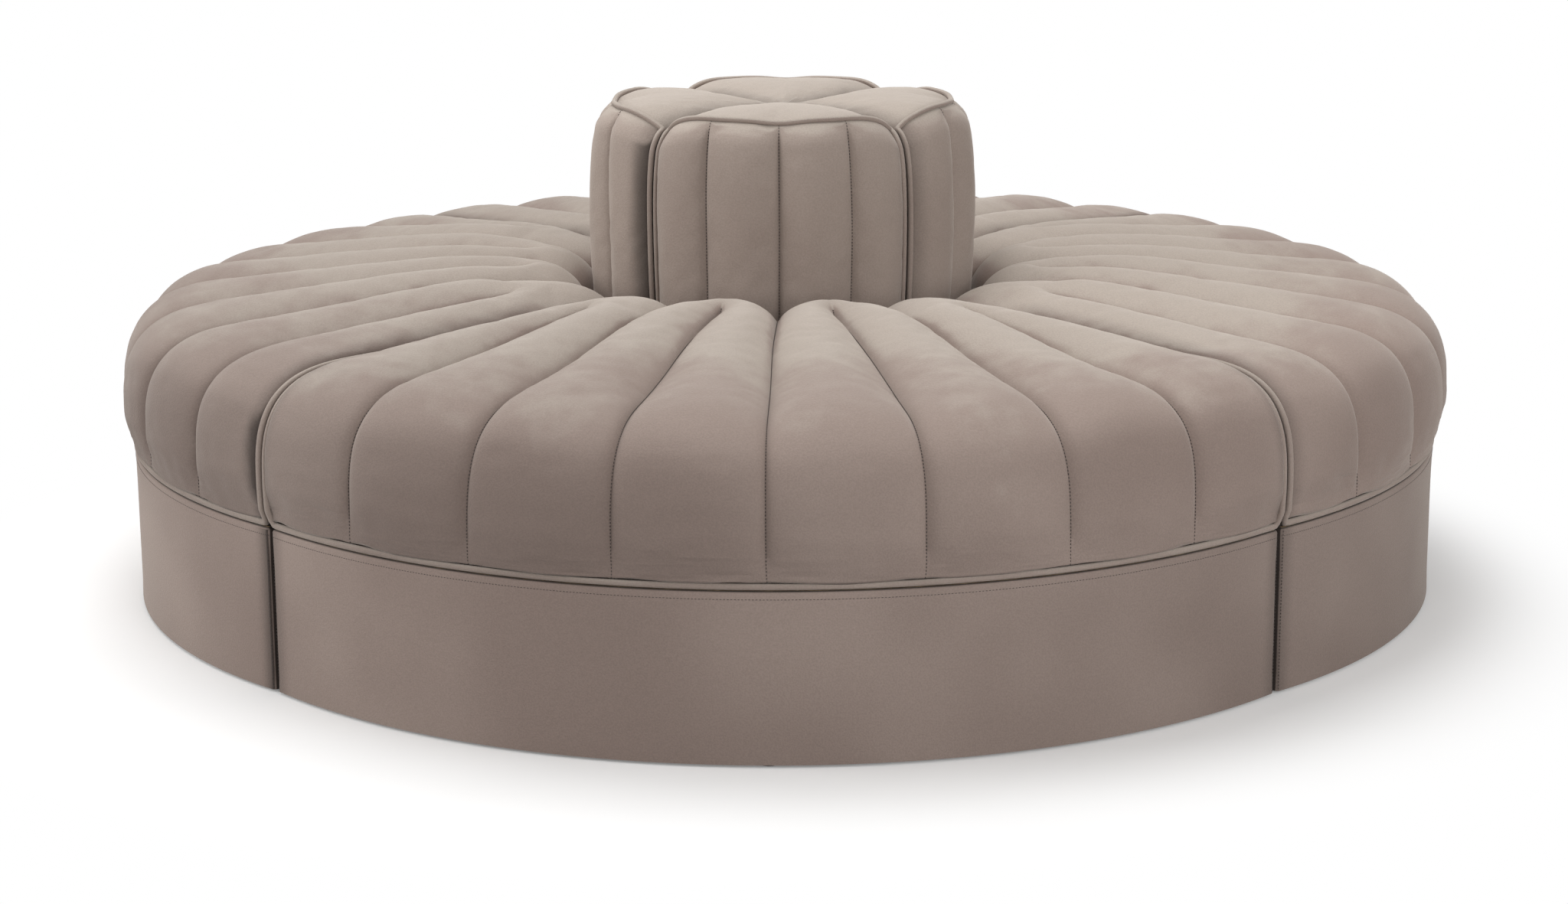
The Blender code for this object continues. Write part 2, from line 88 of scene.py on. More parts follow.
def set_inputs(tree, made, inputs):
    """Set inputs of a node to values, or link them to sockets."""
    for name, value in inputs.items():
        if isinstance(value, bpy.types.NodeSocket):
            tree.links.new(value, made.inputs[name])
        else:
            made.inputs[name].default_value = value


def add_node(tree, kind, inputs, **settings):
    """New node with its settings and its inputs."""
    made = tree.nodes.new(kind)
    for name, value in settings.items():
        setattr(made, name, value)
    set_inputs(tree, made, inputs)
    return made


def add_math(tree, operation, *values):
    """Math node on sockets or numbers."""
    made = add_node(tree, "ShaderNodeMath", dict(enumerate(values)), operation=operation)
    return made.outputs[0]


def add_range(tree, value, low, high, to_low=0.0, to_high=1.0):
    """Soft range of a value."""
    return add_node(tree, "ShaderNodeMapRange", {
        "Value": value, "From Min": low, "From Max": high, "To Min": to_low, "To Max": to_high,
    }, interpolation_type="SMOOTHSTEP").outputs["Result"]


def mixed(tree, share, first, second):
    """Shader between two shaders."""
    return add_node(tree, "ShaderNodeMixShader", {0: share, 1: first, 2: second}).outputs[0]


def seen_directly(tree):
    """Share that is 1 for rays from the camera, from gloss and through glass."""
    path = tree.nodes.new("ShaderNodeLightPath").outputs
    either = add_math(tree, "MAXIMUM", path["Is Camera Ray"], path["Is Glossy Ray"])
    return add_math(tree, "MAXIMUM", either, path["Is Transmission Ray"])


def make_camera():
    """Camera at the photograph's height and angle."""
    data = bpy.data.cameras.new("camera")
    data.lens = CAMERA_LENS
    data.sensor_width = CAMERA_SENSOR
    data.clip_end = CAMERA_FAR
    camera = placed("camera", data)
    turn = Matrix.Rotation(CAMERA_TURN, 4, "Z")
    place = turn @ Vector((0, -CAMERA_DISTANCE, CAMERA_HEIGHT))
    tilt = Matrix.Rotation(math.pi / 2 - CAMERA_PITCH, 4, "X")
    roll = Matrix.Rotation(CAMERA_ROLL, 4, "Z")
    camera.matrix_world = Matrix.Translation(place) @ turn @ tilt @ roll
    scene.camera = camera


def soft_box(name, place, target, size, power):
    """Square area lamp that faces a point."""
    data = bpy.data.lights.new(name, "AREA")
    data.shape = "SQUARE"
    data.size = size
    data.energy = power
    aim = (Vector(target) - Vector(place)).to_track_quat("-Z", "Y")
    placed(name, data).matrix_world = Matrix.Translation(place) @ aim.to_matrix().to_4x4()


def make_room():
    """World that lights evenly and shows white behind the sofa."""
    world = bpy.data.worlds.new("room")
    world.use_nodes = True
    tree = world.node_tree
    tree.nodes.clear()
    even = add_node(tree, "ShaderNodeBackground", {"Color": ROOM_COLOUR, "Strength": ROOM_LIGHT})
    white = add_node(tree, "ShaderNodeBackground", {"Color": WHITE})
    shown = mixed(tree, seen_directly(tree), even.outputs[0], white.outputs[0])
    add_node(tree, "ShaderNodeOutputWorld", {"Surface": shown})
    scene.world = world


def floor_material():
    """Pale paper near the sofa, which runs out to pure white where nothing stands."""
    made = bpy.data.materials.new("white_sweep")
    made.use_nodes = True
    tree = made.node_tree
    tree.nodes.clear()
    paper = add_node(tree, "ShaderNodeBsdfDiffuse", {"Color": PAPER})
    bounce = add_node(tree, "ShaderNodeBsdfDiffuse", {"Color": PAPER_BOUNCE})
    glow = add_node(tree, "ShaderNodeEmission", {"Color": WHITE, "Strength": PAPER_GLOW})
    blank = add_node(tree, "ShaderNodeEmission", {"Color": WHITE})
    lifted = add_node(tree, "ShaderNodeAddShader", {0: paper.outputs[0], 1: glow.outputs[0]})
    place = tree.nodes.new("ShaderNodeTexCoord").outputs["Object"]
    reach = add_node(tree, "ShaderNodeVectorMath", {0: place, 1: FLOOR_FADE_CENTRE},
                     operation="DISTANCE")
    fade = add_range(tree, reach.outputs["Value"], *FLOOR_FADE)
    sweep = mixed(tree, fade, lifted.outputs[0], blank.outputs[0])
    shown = mixed(tree, seen_directly(tree), bounce.outputs[0], sweep)
    add_node(tree, "ShaderNodeOutputMaterial", {"Surface": shown})
    return made


def make_floor():
    """Wide floor that isn't part of the sofa."""
    half = FLOOR_SIZE / 2
    corners = [(-half, -half, 0), (half, -half, 0), (half, half, 0), (-half, half, 0)]
    mesh = bpy.data.meshes.new("floor")
    mesh.from_pydata(corners, [], [(0, 1, 2, 3)])
    mesh.materials.append(floor_material())
    placed("floor", mesh)


scene.view_settings.view_transform = "Standard"
make_camera()
make_room()
make_floor()
for box in SOFT_BOXES:
    soft_box(*box)

# Velvet
# Short-pile taupe velvet. Where a hand has brushed the pile it lies paler and greyer in random
# patches, and against the nap it stays darker and warmer. Painted light and shade are mixed into
# its colour: paler where the cloth faces upwards, darker where it faces away, brighter on the
# backrest's left-facing sides, and dark in grooves, beside the splits and in the notches. The pile
# glows at grazing angles.
VELVET_PALE = (0.390, 0.336, 0.293, 1)
VELVET_MIDDLE = (0.300, 0.237, 0.207, 1)
VELVET_DEEP = (0.228, 0.175, 0.152, 1)
VELVET_ROUGHNESS = 0.85
VELVET_SHEEN = {"Specular IOR Level": 0.18, "Sheen Weight": 0.42, "Sheen Roughness": 0.38,
                "Sheen Tint": (0.86, 0.80, 0.74, 1)}
VELVET_GRAIN_DEPTH = 0.0006
# Scale, detail and distortion of the noises
PATCHES = (5.0, 2.0, 0.4)
RAGGED = (28.0, 9.0, 0.1)
DRIFT = (2.3, 2.0)
GRAIN = (420.0, 2.0)
RAGGED_SHARE = 0.4
PATCH_MIDDLE = 0.70
PALE_WIDTH = 0.60
DEEP_WIDTH = 0.34
SPECKLE = (0.25, 0.75, 0.93, 1.06)
# From the rim inwards: where the painted top light grows from a share to its full strength
TOP_LIGHT_FROM_RIM = (1.02, 0.55, 0.25, 1.0)
# Painted shade: in grooves, at the mouths of the splits, beside them and deep in the notches on the
# left
PAINTED_SHADE_ATTRIBUTE = "painted_shade"
GROOVE_SHADE_SHARE = 0.20
SPLIT_SHADE_WIDTH = 0.055
SPLIT_SHADE_SHARE = 0.64
FLAT_SIDE = (0.006, 0.010)
NOTCH_SHADE_WIDTH = 0.080
NOTCH_SHADE_SHARE = 0.32
NOTCH_ON_LEFT = (0.0, -0.10)
NOTCH_AWAY = (-0.85, -0.45)
NOTCH_UPRIGHT = (0.55, 0.25)
# Near-black thread, whose colour also stands in for the painted shade in the stitch holes
STITCH_AND_HOLE_SHADE_COLOUR = (0.050, 0.038, 0.033, 1)
THREAD_ROUGHNESS = 0.7
base_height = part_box("rear_base_cover")[1].z
cushion_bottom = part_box("rear_seat_cover")[0].z


def add_noise(tree, vector, scale, detail, distortion=0.0):
    """Noise texture on a coordinate, in features per metre."""
    return add_node(tree, "ShaderNodeTexNoise", {
        "Vector": vector, "Scale": scale, "Detail": detail, "Distortion": distortion,
    }).outputs["Fac"]


def add_blend(tree, share, first, second):
    """Colour between two colours or sockets."""
    made = add_node(tree, "ShaderNodeMix", {0: share, 6: first, 7: second}, data_type="RGBA")
    return made.outputs[2]


def add_bump(tree, shader, height, distance):
    """Bump from a height socket onto the shader."""
    bump = add_node(tree, "ShaderNodeBump", {"Distance": distance, "Height": height})
    set_inputs(tree, shader, {"Normal": bump.outputs["Normal"]})


def new_material(name, roughness, metallic=0.0):
    """Principled material, with its tree, its shader and the place on the piece."""
    made = bpy.data.materials.new(name)
    made.use_nodes = True
    tree = made.node_tree
    shader = tree.nodes["Principled BSDF"]
    set_inputs(tree, shader, {"Roughness": roughness, "Metallic": metallic})
    place = tree.nodes.new("ShaderNodeTexCoord").outputs["Object"]
    return made, tree, shader, place


def painted_split_shade(tree, spot, facing, groove):
    """Share of the colour left under painted shade: in a groove and beside the splits.

    Beside the splits on the left half a deeper painted shade falls in the notch, on upright cloth
    that doesn't face the left. The flat sides that face the next module get no shade.
    """
    sizes = [add_math(tree, "ABSOLUTE", spot[axis]) for axis in ("X", "Y")]
    apart = add_math(tree, "ABSOLUTE", add_math(tree, "SUBTRACT", *sizes))
    mouth = add_node(tree, "ShaderNodeAttribute", {}, attribute_name=PAINTED_SHADE_ATTRIBUTE).outputs["Fac"]
    low = add_range(tree, spot["Z"], *groove, 1.0, 0.0)
    painted_shade = add_math(tree, "MAXIMUM", mouth, low)
    narrow = add_range(tree, painted_shade, 0.0, 1.0, 1.0, GROOVE_SHADE_SHARE)
    wide = add_range(tree, apart, 0.0, SPLIT_SHADE_WIDTH, SPLIT_SHADE_SHARE, 1.0)
    # Deeper painted shade in the notches on the left half, on upright cloth that doesn't face the
    # left
    notch = add_range(tree, apart, NOTCH_SHADE_WIDTH, 0.0)
    for part, ends in ((spot["X"], NOTCH_ON_LEFT), (facing["X"], NOTCH_AWAY),
                       (facing["Z"], NOTCH_UPRIGHT)):
        notch = add_math(tree, "MULTIPLY", notch, add_range(tree, part, *ends))
    dark = add_range(tree, notch, 0.0, 1.0, 1.0, NOTCH_SHADE_SHARE)
    flat = add_range(tree, apart, *FLAT_SIDE, 1.0, 0.0)
    beside = add_math(tree, "MAXIMUM", add_math(tree, "MULTIPLY", wide, dark), flat)
    return add_math(tree, "MULTIPLY", narrow, beside)


def velvet(name, cloudiness, pale_from, deep_from, level_from, lean, groove=None,
           lean_by_facing=False):
    """Velvet with random pale brushed patches, and a painted top light that makes the cloth paler
    where it faces upwards and deeper where it faces away.

    Lean: brightness on the left and on the right of the sofa, or with lean_by_facing a painted
    side light on the left- and right-facing sides of each form.
    Groove: two heights between which the painted groove shade goes from full to none.
    """
    made, tree, shader, place = new_material(name, VELVET_ROUGHNESS)
    normal = tree.nodes.new("ShaderNodeNewGeometry").outputs["Normal"]
    spot, facing = [add_node(tree, "ShaderNodeSeparateXYZ", {0: vector}).outputs
                    for vector in (place, normal)]
    flat = add_node(tree, "ShaderNodeVectorMath", {0: place, 1: (1, 1, 0)}, operation="MULTIPLY")
    reach = add_node(tree, "ShaderNodeVectorMath", {0: flat.outputs[0]}, operation="LENGTH")
    patches, ragged, drift, grain = [add_noise(tree, place, *kind)
                                     for kind in (PATCHES, RAGGED, DRIFT, GRAIN)]
    # Painted top light: paler where the cloth faces upwards, growing inwards from the rim; where it
    # faces away the colour turns deep
    top_light_from_rim = add_range(tree, reach.outputs["Value"], *TOP_LIGHT_FROM_RIM)
    painted_top_light = add_math(tree, "MULTIPLY", add_range(tree, facing["Z"], level_from, 1.0), top_light_from_rim)
    mottle = add_math(tree, "MULTIPLY_ADD", ragged, RAGGED_SHARE, patches)
    brushed_and_top_lit = add_math(tree, "MULTIPLY_ADD", mottle, cloudiness, painted_top_light)
    low = PATCH_MIDDLE * cloudiness + pale_from
    pale = add_range(tree, brushed_and_top_lit, low, low + PALE_WIDTH)
    drift_and_top_light = add_math(tree, "ADD", drift, painted_top_light)
    deep = add_range(tree, drift_and_top_light, deep_from, deep_from + DEEP_WIDTH)
    ground = add_blend(tree, deep, VELVET_DEEP, VELVET_MIDDLE)
    colour = add_blend(tree, pale, ground, VELVET_PALE)
    # With lean_by_facing: painted side light, brighter where the cloth faces left. Otherwise the
    # brightness changes across the sofa from left to right.
    across = (facing if lean_by_facing else spot)["X"]
    lean_and_side_light = add_range(tree, across, -1.0, 1.0, *lean)
    tone = add_math(tree, "MULTIPLY", add_range(tree, grain, *SPECKLE), lean_and_side_light)
    # Painted shade in grooves, beside the splits and in the notches
    if groove:
        tone = add_math(tree, "MULTIPLY", tone, painted_split_shade(tree, spot, facing, groove))
    tint = add_node(tree, "ShaderNodeVectorMath", {0: colour, "Scale": tone}, operation="SCALE")
    set_inputs(tree, shader, {"Base Color": tint.outputs[0], **VELVET_SHEEN})
    add_bump(tree, shader, grain, VELVET_GRAIN_DEPTH)
    return made


# Painted groove shade: above the seat piping, at the foot of each backrest, on the rolled top edge
# of each base cover and over the deck lining, which both take the base velvet
seat_groove = (cushion_bottom + 0.006, cushion_bottom + 0.015)
seat_velvet = velvet("seat_velvet", 1.40, 0.22, 0.40, 0.35, (0.87, 1.13), seat_groove)
# The backrest's lean follows the way the cloth faces: painted side light, brighter where it faces
# left.
back_velvet = velvet("back_velvet", 0.15, -0.25, 0.30, 0.62, (1.12, 0.98),
                     (cushion_bottom, cushion_bottom + 0.001), lean_by_facing=True)
base_velvet = velvet("base_velvet", 0.30, 0.05, 0.34, 0.80, (1.21, 0.92),
                     (base_height, base_height - 0.0025))
piping_velvet = velvet("piping_velvet", 0.40, -0.20, 0.30, 0.35, (1.0, 1.0))
thread_and_hole_shade, thread_tree, thread_shader, _ = new_material("seam_thread_and_hole_shade", THREAD_ROUGHNESS)
set_inputs(thread_tree, thread_shader, {"Base Color": STITCH_AND_HOLE_SHADE_COLOUR})

# Frame, glides and clips
# Birch plywood panels and deck, pine uprights in the backrest, moulded glides and zinc-plated
# sectional clips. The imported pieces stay, and get their grain, mould texture and plating.
MODULE_TURNS = {"front": -135.0, "right": -45.0, "rear": 45.0, "left": 135.0}
BIRCH = ((0.50, 0.34, 0.19, 1), (0.66, 0.49, 0.30, 1))
PINE = ((0.42, 0.25, 0.11, 1), (0.60, 0.41, 0.22, 1))
PLASTIC = ((0.018, 0.018, 0.020, 1), (0.055, 0.052, 0.050, 1))
ZINC = ((0.50, 0.51, 0.52, 1), (0.63, 0.64, 0.66, 1))
SAWN = {"figure": (5.0, 6.0, 1.5), "share": (0.32, 0.68), "roughness": (0.2, 0.8, 0.48, 0.72),
        "grain": (260.0, 3.0), "depth": 0.0004, "stretch": (9.0, 9.0, 1.2)}
SCUFFED = {"figure": (120.0, 4.0, 0.6), "share": (0.55, 0.75), "roughness": (0.3, 0.7, 0.38, 0.6),
           "grain": (900.0, 2.0), "depth": 0.0002}
PLATED = {"figure": (90.0, 3.0, 0.8), "roughness": (0.3, 0.7, 0.26, 0.44),
          "grain": (700.0, 2.0), "depth": 0.0001, "metallic": 1.0}


def patterned(name, colours, figure, roughness, grain, depth, share=None, stretch=None,
              metallic=0.0):
    """Material whose colour and roughness follow one noise, with the bumps of a finer one."""
    made, tree, shader, place = new_material(name, roughness[-1], metallic)
    drawn = place
    if stretch:
        mapped = add_node(tree, "ShaderNodeMapping", {"Vector": place, "Scale": stretch})
        drawn = mapped.outputs[0]
    spread = add_noise(tree, drawn, *figure)
    between = add_range(tree, spread, *share) if share else spread
    set_inputs(tree, shader, {
        "Base Color": add_blend(tree, between, *colours),
        "Roughness": add_range(tree, spread, *roughness),
    })
    add_bump(tree, shader, add_noise(tree, place, *grain), depth)
    return made


for finish, pieces in (
    (patterned("birch_deck", BIRCH, **SAWN), ("seat_deck",)),
    (patterned("birch_panel", BIRCH, **SAWN),
     ("front_panel", "side_panel_left", "side_panel_right")),
    (patterned("pine_boards", PINE, **SAWN), ("back_frame",)),
    (patterned("foot_plastic", PLASTIC, **SCUFFED),
     ("foot_left", "foot_right", "foot_front", "foot_inner")),
    (patterned("clip_steel", ZINC, **PLATED), ("clip_tongue", "clip_jaw")),
):
    for node in [side + "_" + piece for side in MODULE_TURNS for piece in pieces]:
        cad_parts[node].material_slots[0].material = finish

# Base covers
# Velvet over thin wadding, pulled round the curved front and both flat sides of each base,
# turned in at the top under a row of topstitching and hemmed at the floor.
QUARTER = math.pi / 2
CUSHION_GAP = 0.0003
BASE_GAP = 0.008
# How far the sewing strays, its waves per metre, and how far from a hold it is free
SEWN_DRIFT = 0.0035
SEWN_WAVES = 5.0
SEWN_FREE_FROM = 0.030
SEWN_SEED = 5
FRONT_BULGE = 0.028
COVER_THICKNESS = 0.004
COVER_HEM = 0.004
COVER_CORNER = 0.006
CORNER_STEPS = 6
COVER_PITCH = 0.016
COVER_ROWS = 14
COVER_EDGE_ROLL = 0.005
EDGE_STEPS = 5
EDGE_ANGLE = 50.0
COVER_SLACK = 0.0008
SLACK_WAVES = 6
SLACK_FREE_TOP = 0.06
SLACK_FREE_HEM = 0.04
CLIP_FROM_MIDDLE = 0.600
NOTCH_WIDTH = 0.100
NOTCH_TOP = 0.050
GAP_SHADE_FROM = 0.960
GAP_SHADE_FADE = 0.035
TOPSTITCH_BELOW_EDGE = 0.011
CORNER_SEAM_TURN = -0.5
CORNER_SEAM_STOPS = 12
STITCH_PITCH = 0.0047
STITCH_LENGTH = 0.0032
STITCH_THICKNESS = 0.0010
SEAM_STITCH_THICKNESS = 0.0014
half_gap = BASE_GAP / 2
side_start = half_gap + COVER_THICKNESS + CUSHION_GAP
base_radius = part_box("rear_base_cover")[1].y - FRONT_BULGE
half_chord = base_radius * math.sin(QUARTER / 2)
front_depth = base_radius - base_radius * math.cos(QUARTER / 2) + FRONT_BULGE
front_arc_radius = (half_chord ** 2 + front_depth ** 2) / (2 * front_depth)
front_arc_offset = base_radius + FRONT_BULGE - front_arc_radius
front_arc_centre = front_arc_offset * math.cos(QUARTER / 2)
noise.seed_set(SEWN_SEED)


def smooth(share):
    """Soft step from 0 to 1."""
    share = np.clip(share, 0.0, 1.0)
    return share * share * (3 - 2 * share)


def arc(radius, start, end, steps):
    """Points on a circle about the middle of the sofa."""
    turns = np.linspace(start, end, steps + 1)
    return np.stack([radius * np.cos(turns), radius * np.sin(turns)], 1)


def front_reach(inset, side):
    """How far a line beside a flat side runs before it meets the front, less an inset."""
    across = front_arc_centre - side
    return front_arc_centre + math.sqrt((front_arc_radius - inset) ** 2 - across ** 2)


def front_arc(inset, side, steps):
    """Points along the bulged front, less an inset, between two lines beside the flat sides."""
    radius = front_arc_radius - inset
    lean = math.asin((side - front_arc_centre) / radius)
    return front_arc_centre + arc(radius, lean, QUARTER - lean, steps)


def off_bench(piece):
    """Plain mesh of an object with its modifiers applied. The object goes."""
    bpy.context.view_layer.update()
    depsgraph = bpy.context.evaluated_depsgraph_get()
    mesh = bpy.data.meshes.new_from_object(piece.evaluated_get(depsgraph))
    bpy.data.objects.remove(piece, do_unlink=True)
    return mesh


def hand_sewn(mesh, turn):
    """Move a module's points a little, differently on each module, but not where it is held."""
    points = np.array([vert.co for vert in mesh.vertices])
    depth = np.minimum(points[:, 0], points[:, 1])
    free = smooth(depth / SEWN_FREE_FROM) * smooth((points[:, 2] - cushion_bottom) / SEWN_FREE_FROM)
    drift = np.array([noise.noise_vector(turn @ Vector(point) * SEWN_WAVES) for point in points])
    back = np.array(turn.to_3x3().inverted())
    points += SEWN_DRIFT * free[:, None] * (drift @ back.T)
    mesh.vertices.foreach_set("co", points.astype(np.float32).ravel())


def fit_to_modules(piece, mesh, material, replaced=None, sharp=None,
                   sewn=False):
    """Put one copy of a mesh on each module, turned to its place, with its material."""
    for side, degrees in MODULE_TURNS.items():
        own = mesh.copy()
        turn = Matrix.Rotation(math.radians(degrees), 4, "Z")
        if sewn:
            hand_sewn(own, turn)
        own.transform(turn)
        own.materials.clear()
        own.materials.append(material)
        own.shade_smooth()
        if sharp:
            own.set_sharp_from_angle(angle=math.radians(sharp))
        item = placed(side + "_" + piece, own)
        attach(item, side + "_module")
        if replaced:
            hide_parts(side + "_" + replaced)


def cover_path():
    """Plan of the cover: left side, rounded corner, curved front, corner and right side."""
    offset = half_gap + COVER_CORNER
    along = front_reach(COVER_CORNER, offset)
    lean = math.atan2(offset - front_arc_centre, along - front_arc_centre)
    turns = np.linspace(-QUARTER, lean, CORNER_STEPS, endpoint=False)
    corner = np.stack([along + COVER_CORNER * np.cos(turns),
                       offset + COVER_CORNER * np.sin(turns)], 1)
    stops = [side_start, CLIP_FROM_MIDDLE - NOTCH_WIDTH / 2, CLIP_FROM_MIDDLE + NOTCH_WIDTH / 2,
             along]
    left = []
    for first, last in zip(stops, stops[1:]):
        left.append(np.linspace(first, last, max(1, round((last - first) / COVER_PITCH)) + 1)[:-1])
    left = np.concatenate(left)
    left = np.stack([left, np.full(len(left), half_gap)], 1)
    end = offset + COVER_CORNER * math.sin(lean)
    front = front_arc(0, end, round(base_radius * QUARTER / COVER_PITCH))
    start = np.concatenate([left, corner])
    return np.concatenate([start, front, start[::-1, ::-1]])


def in_notch(point, height):
    """Whether a place on a flat side lies in the notch that a clip passes through."""
    along, across = max(point), min(point)
    by_clip = abs(along - CLIP_FROM_MIDDLE) < NOTCH_WIDTH / 2
    return across < half_gap + CUSHION_GAP and by_clip and height < NOTCH_TOP


def base_cover_mesh():
    """Skin with a rolled top edge and hem, notched for the clips."""
    path = cover_path()
    straight = np.linspace(NOTCH_TOP, base_height - COVER_EDGE_ROLL, COVER_ROWS)
    low = np.linspace(COVER_HEM, NOTCH_TOP, EDGE_STEPS)[:-1]
    heights = np.concatenate([low, straight])
    along = np.gradient(path, axis=0)
    outward = np.stack([along[:, 1], -along[:, 0]], 1)
    outward /= np.linalg.norm(outward, axis=1)[:, None]
    rows = []
    for height in heights:
        slack = [noise.noise(Vector((x, y, height)) * SLACK_WAVES) for x, y in path]
        near_edge = smooth((base_height - height) / SLACK_FREE_TOP)
        near_edge = near_edge * smooth(height / SLACK_FREE_HEM)
        inwards = COVER_SLACK * near_edge * (1 + np.array(slack))
        flat = path - outward * inwards[:, None]
        rows.append(np.column_stack([flat, np.full(len(path), height)]))
    for turn in np.linspace(0, QUARTER, EDGE_STEPS)[1:]:
        inwards = COVER_EDGE_ROLL * (1 - math.cos(turn))
        up = base_height - COVER_EDGE_ROLL + COVER_EDGE_ROLL * math.sin(turn)
        rows.append(np.column_stack([path - outward * inwards, np.full(len(path), up)]))
    count = len(path)
    faces = []
    for row in range(len(rows) - 1):
        for column in range(count - 1):
            middle = (path[column] + path[column + 1]) / 2
            height = (rows[row][column][2] + rows[row + 1][column][2]) / 2
            if not in_notch(middle, height):
                first = row * count + column
                faces.append((first, first + 1, first + count + 1, first + count))
    mesh = bpy.data.meshes.new("base_cover")
    mesh.from_pydata([tuple(point) for row in rows for point in row], [], faces)
    # Painted shade along the mouth of each split: the flat sides darken towards the front corners
    on_side = path.min(axis=1) < half_gap + CUSHION_GAP
    shade = on_side * smooth((path.max(axis=1) - GAP_SHADE_FROM) / GAP_SHADE_FADE)
    layer = mesh.attributes.new(PAINTED_SHADE_ATTRIBUTE, "FLOAT", "POINT")
    layer.data.foreach_set("value", np.tile(shade, len(rows)).astype(np.float32))
    skin = placed("base_cover", mesh)
    solid = skin.modifiers.new("wadding", "SOLIDIFY")
    solid.thickness = COVER_THICKNESS - COVER_EDGE_ROLL / 3
    solid.offset = -1
    made = off_bench(skin)
    bm = bmesh.new()
    bm.from_mesh(made)
    loose = [vert for vert in bm.verts if not vert.link_faces]
    bmesh.ops.delete(bm, geom=loose, context="VERTS")
    bmesh.ops.recalc_face_normals(bm, faces=bm.faces)
    bm.to_mesh(made)
    bm.free()
    return made


def stitch_tree():
    """Geometry Nodes that lay short threads along every line of a curve."""
    tree = bpy.data.node_groups.new("stitches", "GeometryNodeTree")
    face = tree.interface
    face.new_socket("Geometry", in_out="INPUT", socket_type="NodeSocketGeometry")
    for name in ("Pitch", "Length", "Thickness"):
        face.new_socket(name, in_out="INPUT", socket_type="NodeSocketFloat")
    face.new_socket("Geometry", in_out="OUTPUT", socket_type="NodeSocketGeometry")
    given = tree.nodes.new("NodeGroupInput").outputs
    spaced = add_node(tree, "GeometryNodeResampleCurve", {
        "Curve": given["Geometry"], "Length": given["Pitch"]}, mode="LENGTH")
    along = tree.nodes.new("GeometryNodeInputTangent").outputs[0]
    aim = add_node(tree, "FunctionNodeAlignRotationToVector", {"Vector": along}, axis="Z")
    bead = add_node(tree, "GeometryNodeMeshUVSphere", {"Segments": 5, "Rings": 4, "Radius": 0.5})
    size = add_node(tree, "ShaderNodeCombineXYZ", {
        "X": given["Thickness"], "Y": given["Thickness"], "Z": given["Length"]})
    lay = add_node(tree, "GeometryNodeInstanceOnPoints", {
        "Points": spaced.outputs["Curve"], "Instance": bead.outputs["Mesh"],
        "Rotation": aim.outputs["Rotation"], "Scale": size.outputs["Vector"]})
    real = add_node(tree, "GeometryNodeRealizeInstances", {"Geometry": lay.outputs["Instances"]})
    finished = add_node(tree, "GeometryNodeSetMaterial", {
        "Geometry": real.outputs["Geometry"], "Material": thread_and_hole_shade})
    add_node(tree, "NodeGroupOutput", {"Geometry": finished.outputs["Geometry"]})
    return tree


stitches = stitch_tree()


def curve_of(name, lines):
    """Curve with one open line for each list of points."""
    curve = bpy.data.curves.new(name, "CURVE")
    curve.dimensions = "3D"
    for line in lines:
        spline = curve.splines.new("POLY")
        spline.points.add(len(line) - 1)
        for point, (x, y, z) in zip(spline.points, line):
            point.co = (x, y, z, 1)
    return curve


def sew(piece, lines, thickness, sewn=False):
    """Lay threads along lines of points on every module."""
    bench = placed(piece, curve_of(piece, lines))
    sewing = bench.modifiers.new("sewing", "NODES")
    sewing.node_group = stitches
    sizes = {"Pitch": STITCH_PITCH, "Length": STITCH_LENGTH, "Thickness": thickness}
    for socket in stitches.interface.items_tree:
        if socket.name in sizes and socket.in_out == "INPUT":
            sewing[socket.identifier] = sizes[socket.name]
    fit_to_modules(piece, off_bench(bench), thread_and_hole_shade, sewn=sewn)


def topstitch_line():
    """Topstitching under the top edge of a base cover."""
    path = cover_path()
    inner = path[path.min(axis=1) > half_gap + COVER_CORNER / 8]
    top = base_height - TOPSTITCH_BELOW_EDGE
    return [(x, y, top) for x, y in inner]


def corner_seam_lines():
    """Seams down both corners of a base cover."""
    offset = half_gap + COVER_CORNER
    along = front_reach(COVER_CORNER, offset)
    x = along + COVER_CORNER * math.cos(CORNER_SEAM_TURN)
    y = offset + COVER_CORNER * math.sin(CORNER_SEAM_TURN)
    heights = np.linspace(COVER_HEM * 2, base_height - COVER_EDGE_ROLL, CORNER_SEAM_STOPS)
    left = [(x, y, height) for height in heights]
    return [left, [(y, x, height) for x, y, height in left]]


fit_to_modules("base_skin", base_cover_mesh(), base_velvet,
               replaced="base_cover", sharp=EDGE_ANGLE)
sew("base_topstitch", [topstitch_line()], STITCH_THICKNESS)
sew("base_corner_seams", corner_seam_lines(), SEAM_STITCH_THICKNESS)

# Seat foam
# A block of cream foam glued to the deck inside each cushion, cut square and eased along its
# upper edges. The cover hides it. A strip of cloth lines the deck between seat and backrest.
PADDING_FRONT = 0.075
PADDING_BACK = 0.035
PADDING_SIDE = 0.025
PADDING_TOP = 0.040
FOAM_STEPS = 40
FOAM_EASE = 0.008
FOAM_EASE_ANGLE = 60.0
FOAM_COLOURS = ((0.72, 0.64, 0.44, 1), (0.84, 0.79, 0.62, 1))
FOAM_ROUGHNESS = 0.95
FOAM_TONE = (12.0, 3.0)
FOAM_CELLS = 500.0
FOAM_CELL_DEPTH = 0.0008
WELD = 0.00002
LINING_LEVELS = (0.8, 0.2)
LINING_TUCK = 0.040
LINING_LAP = 0.006
SEAM_HEIGHT = 0.454
SEAT_TO_BACK = 0.038
BACK_RADIUS = 0.289
seat_inner_radius = BACK_RADIUS + SEAT_TO_BACK


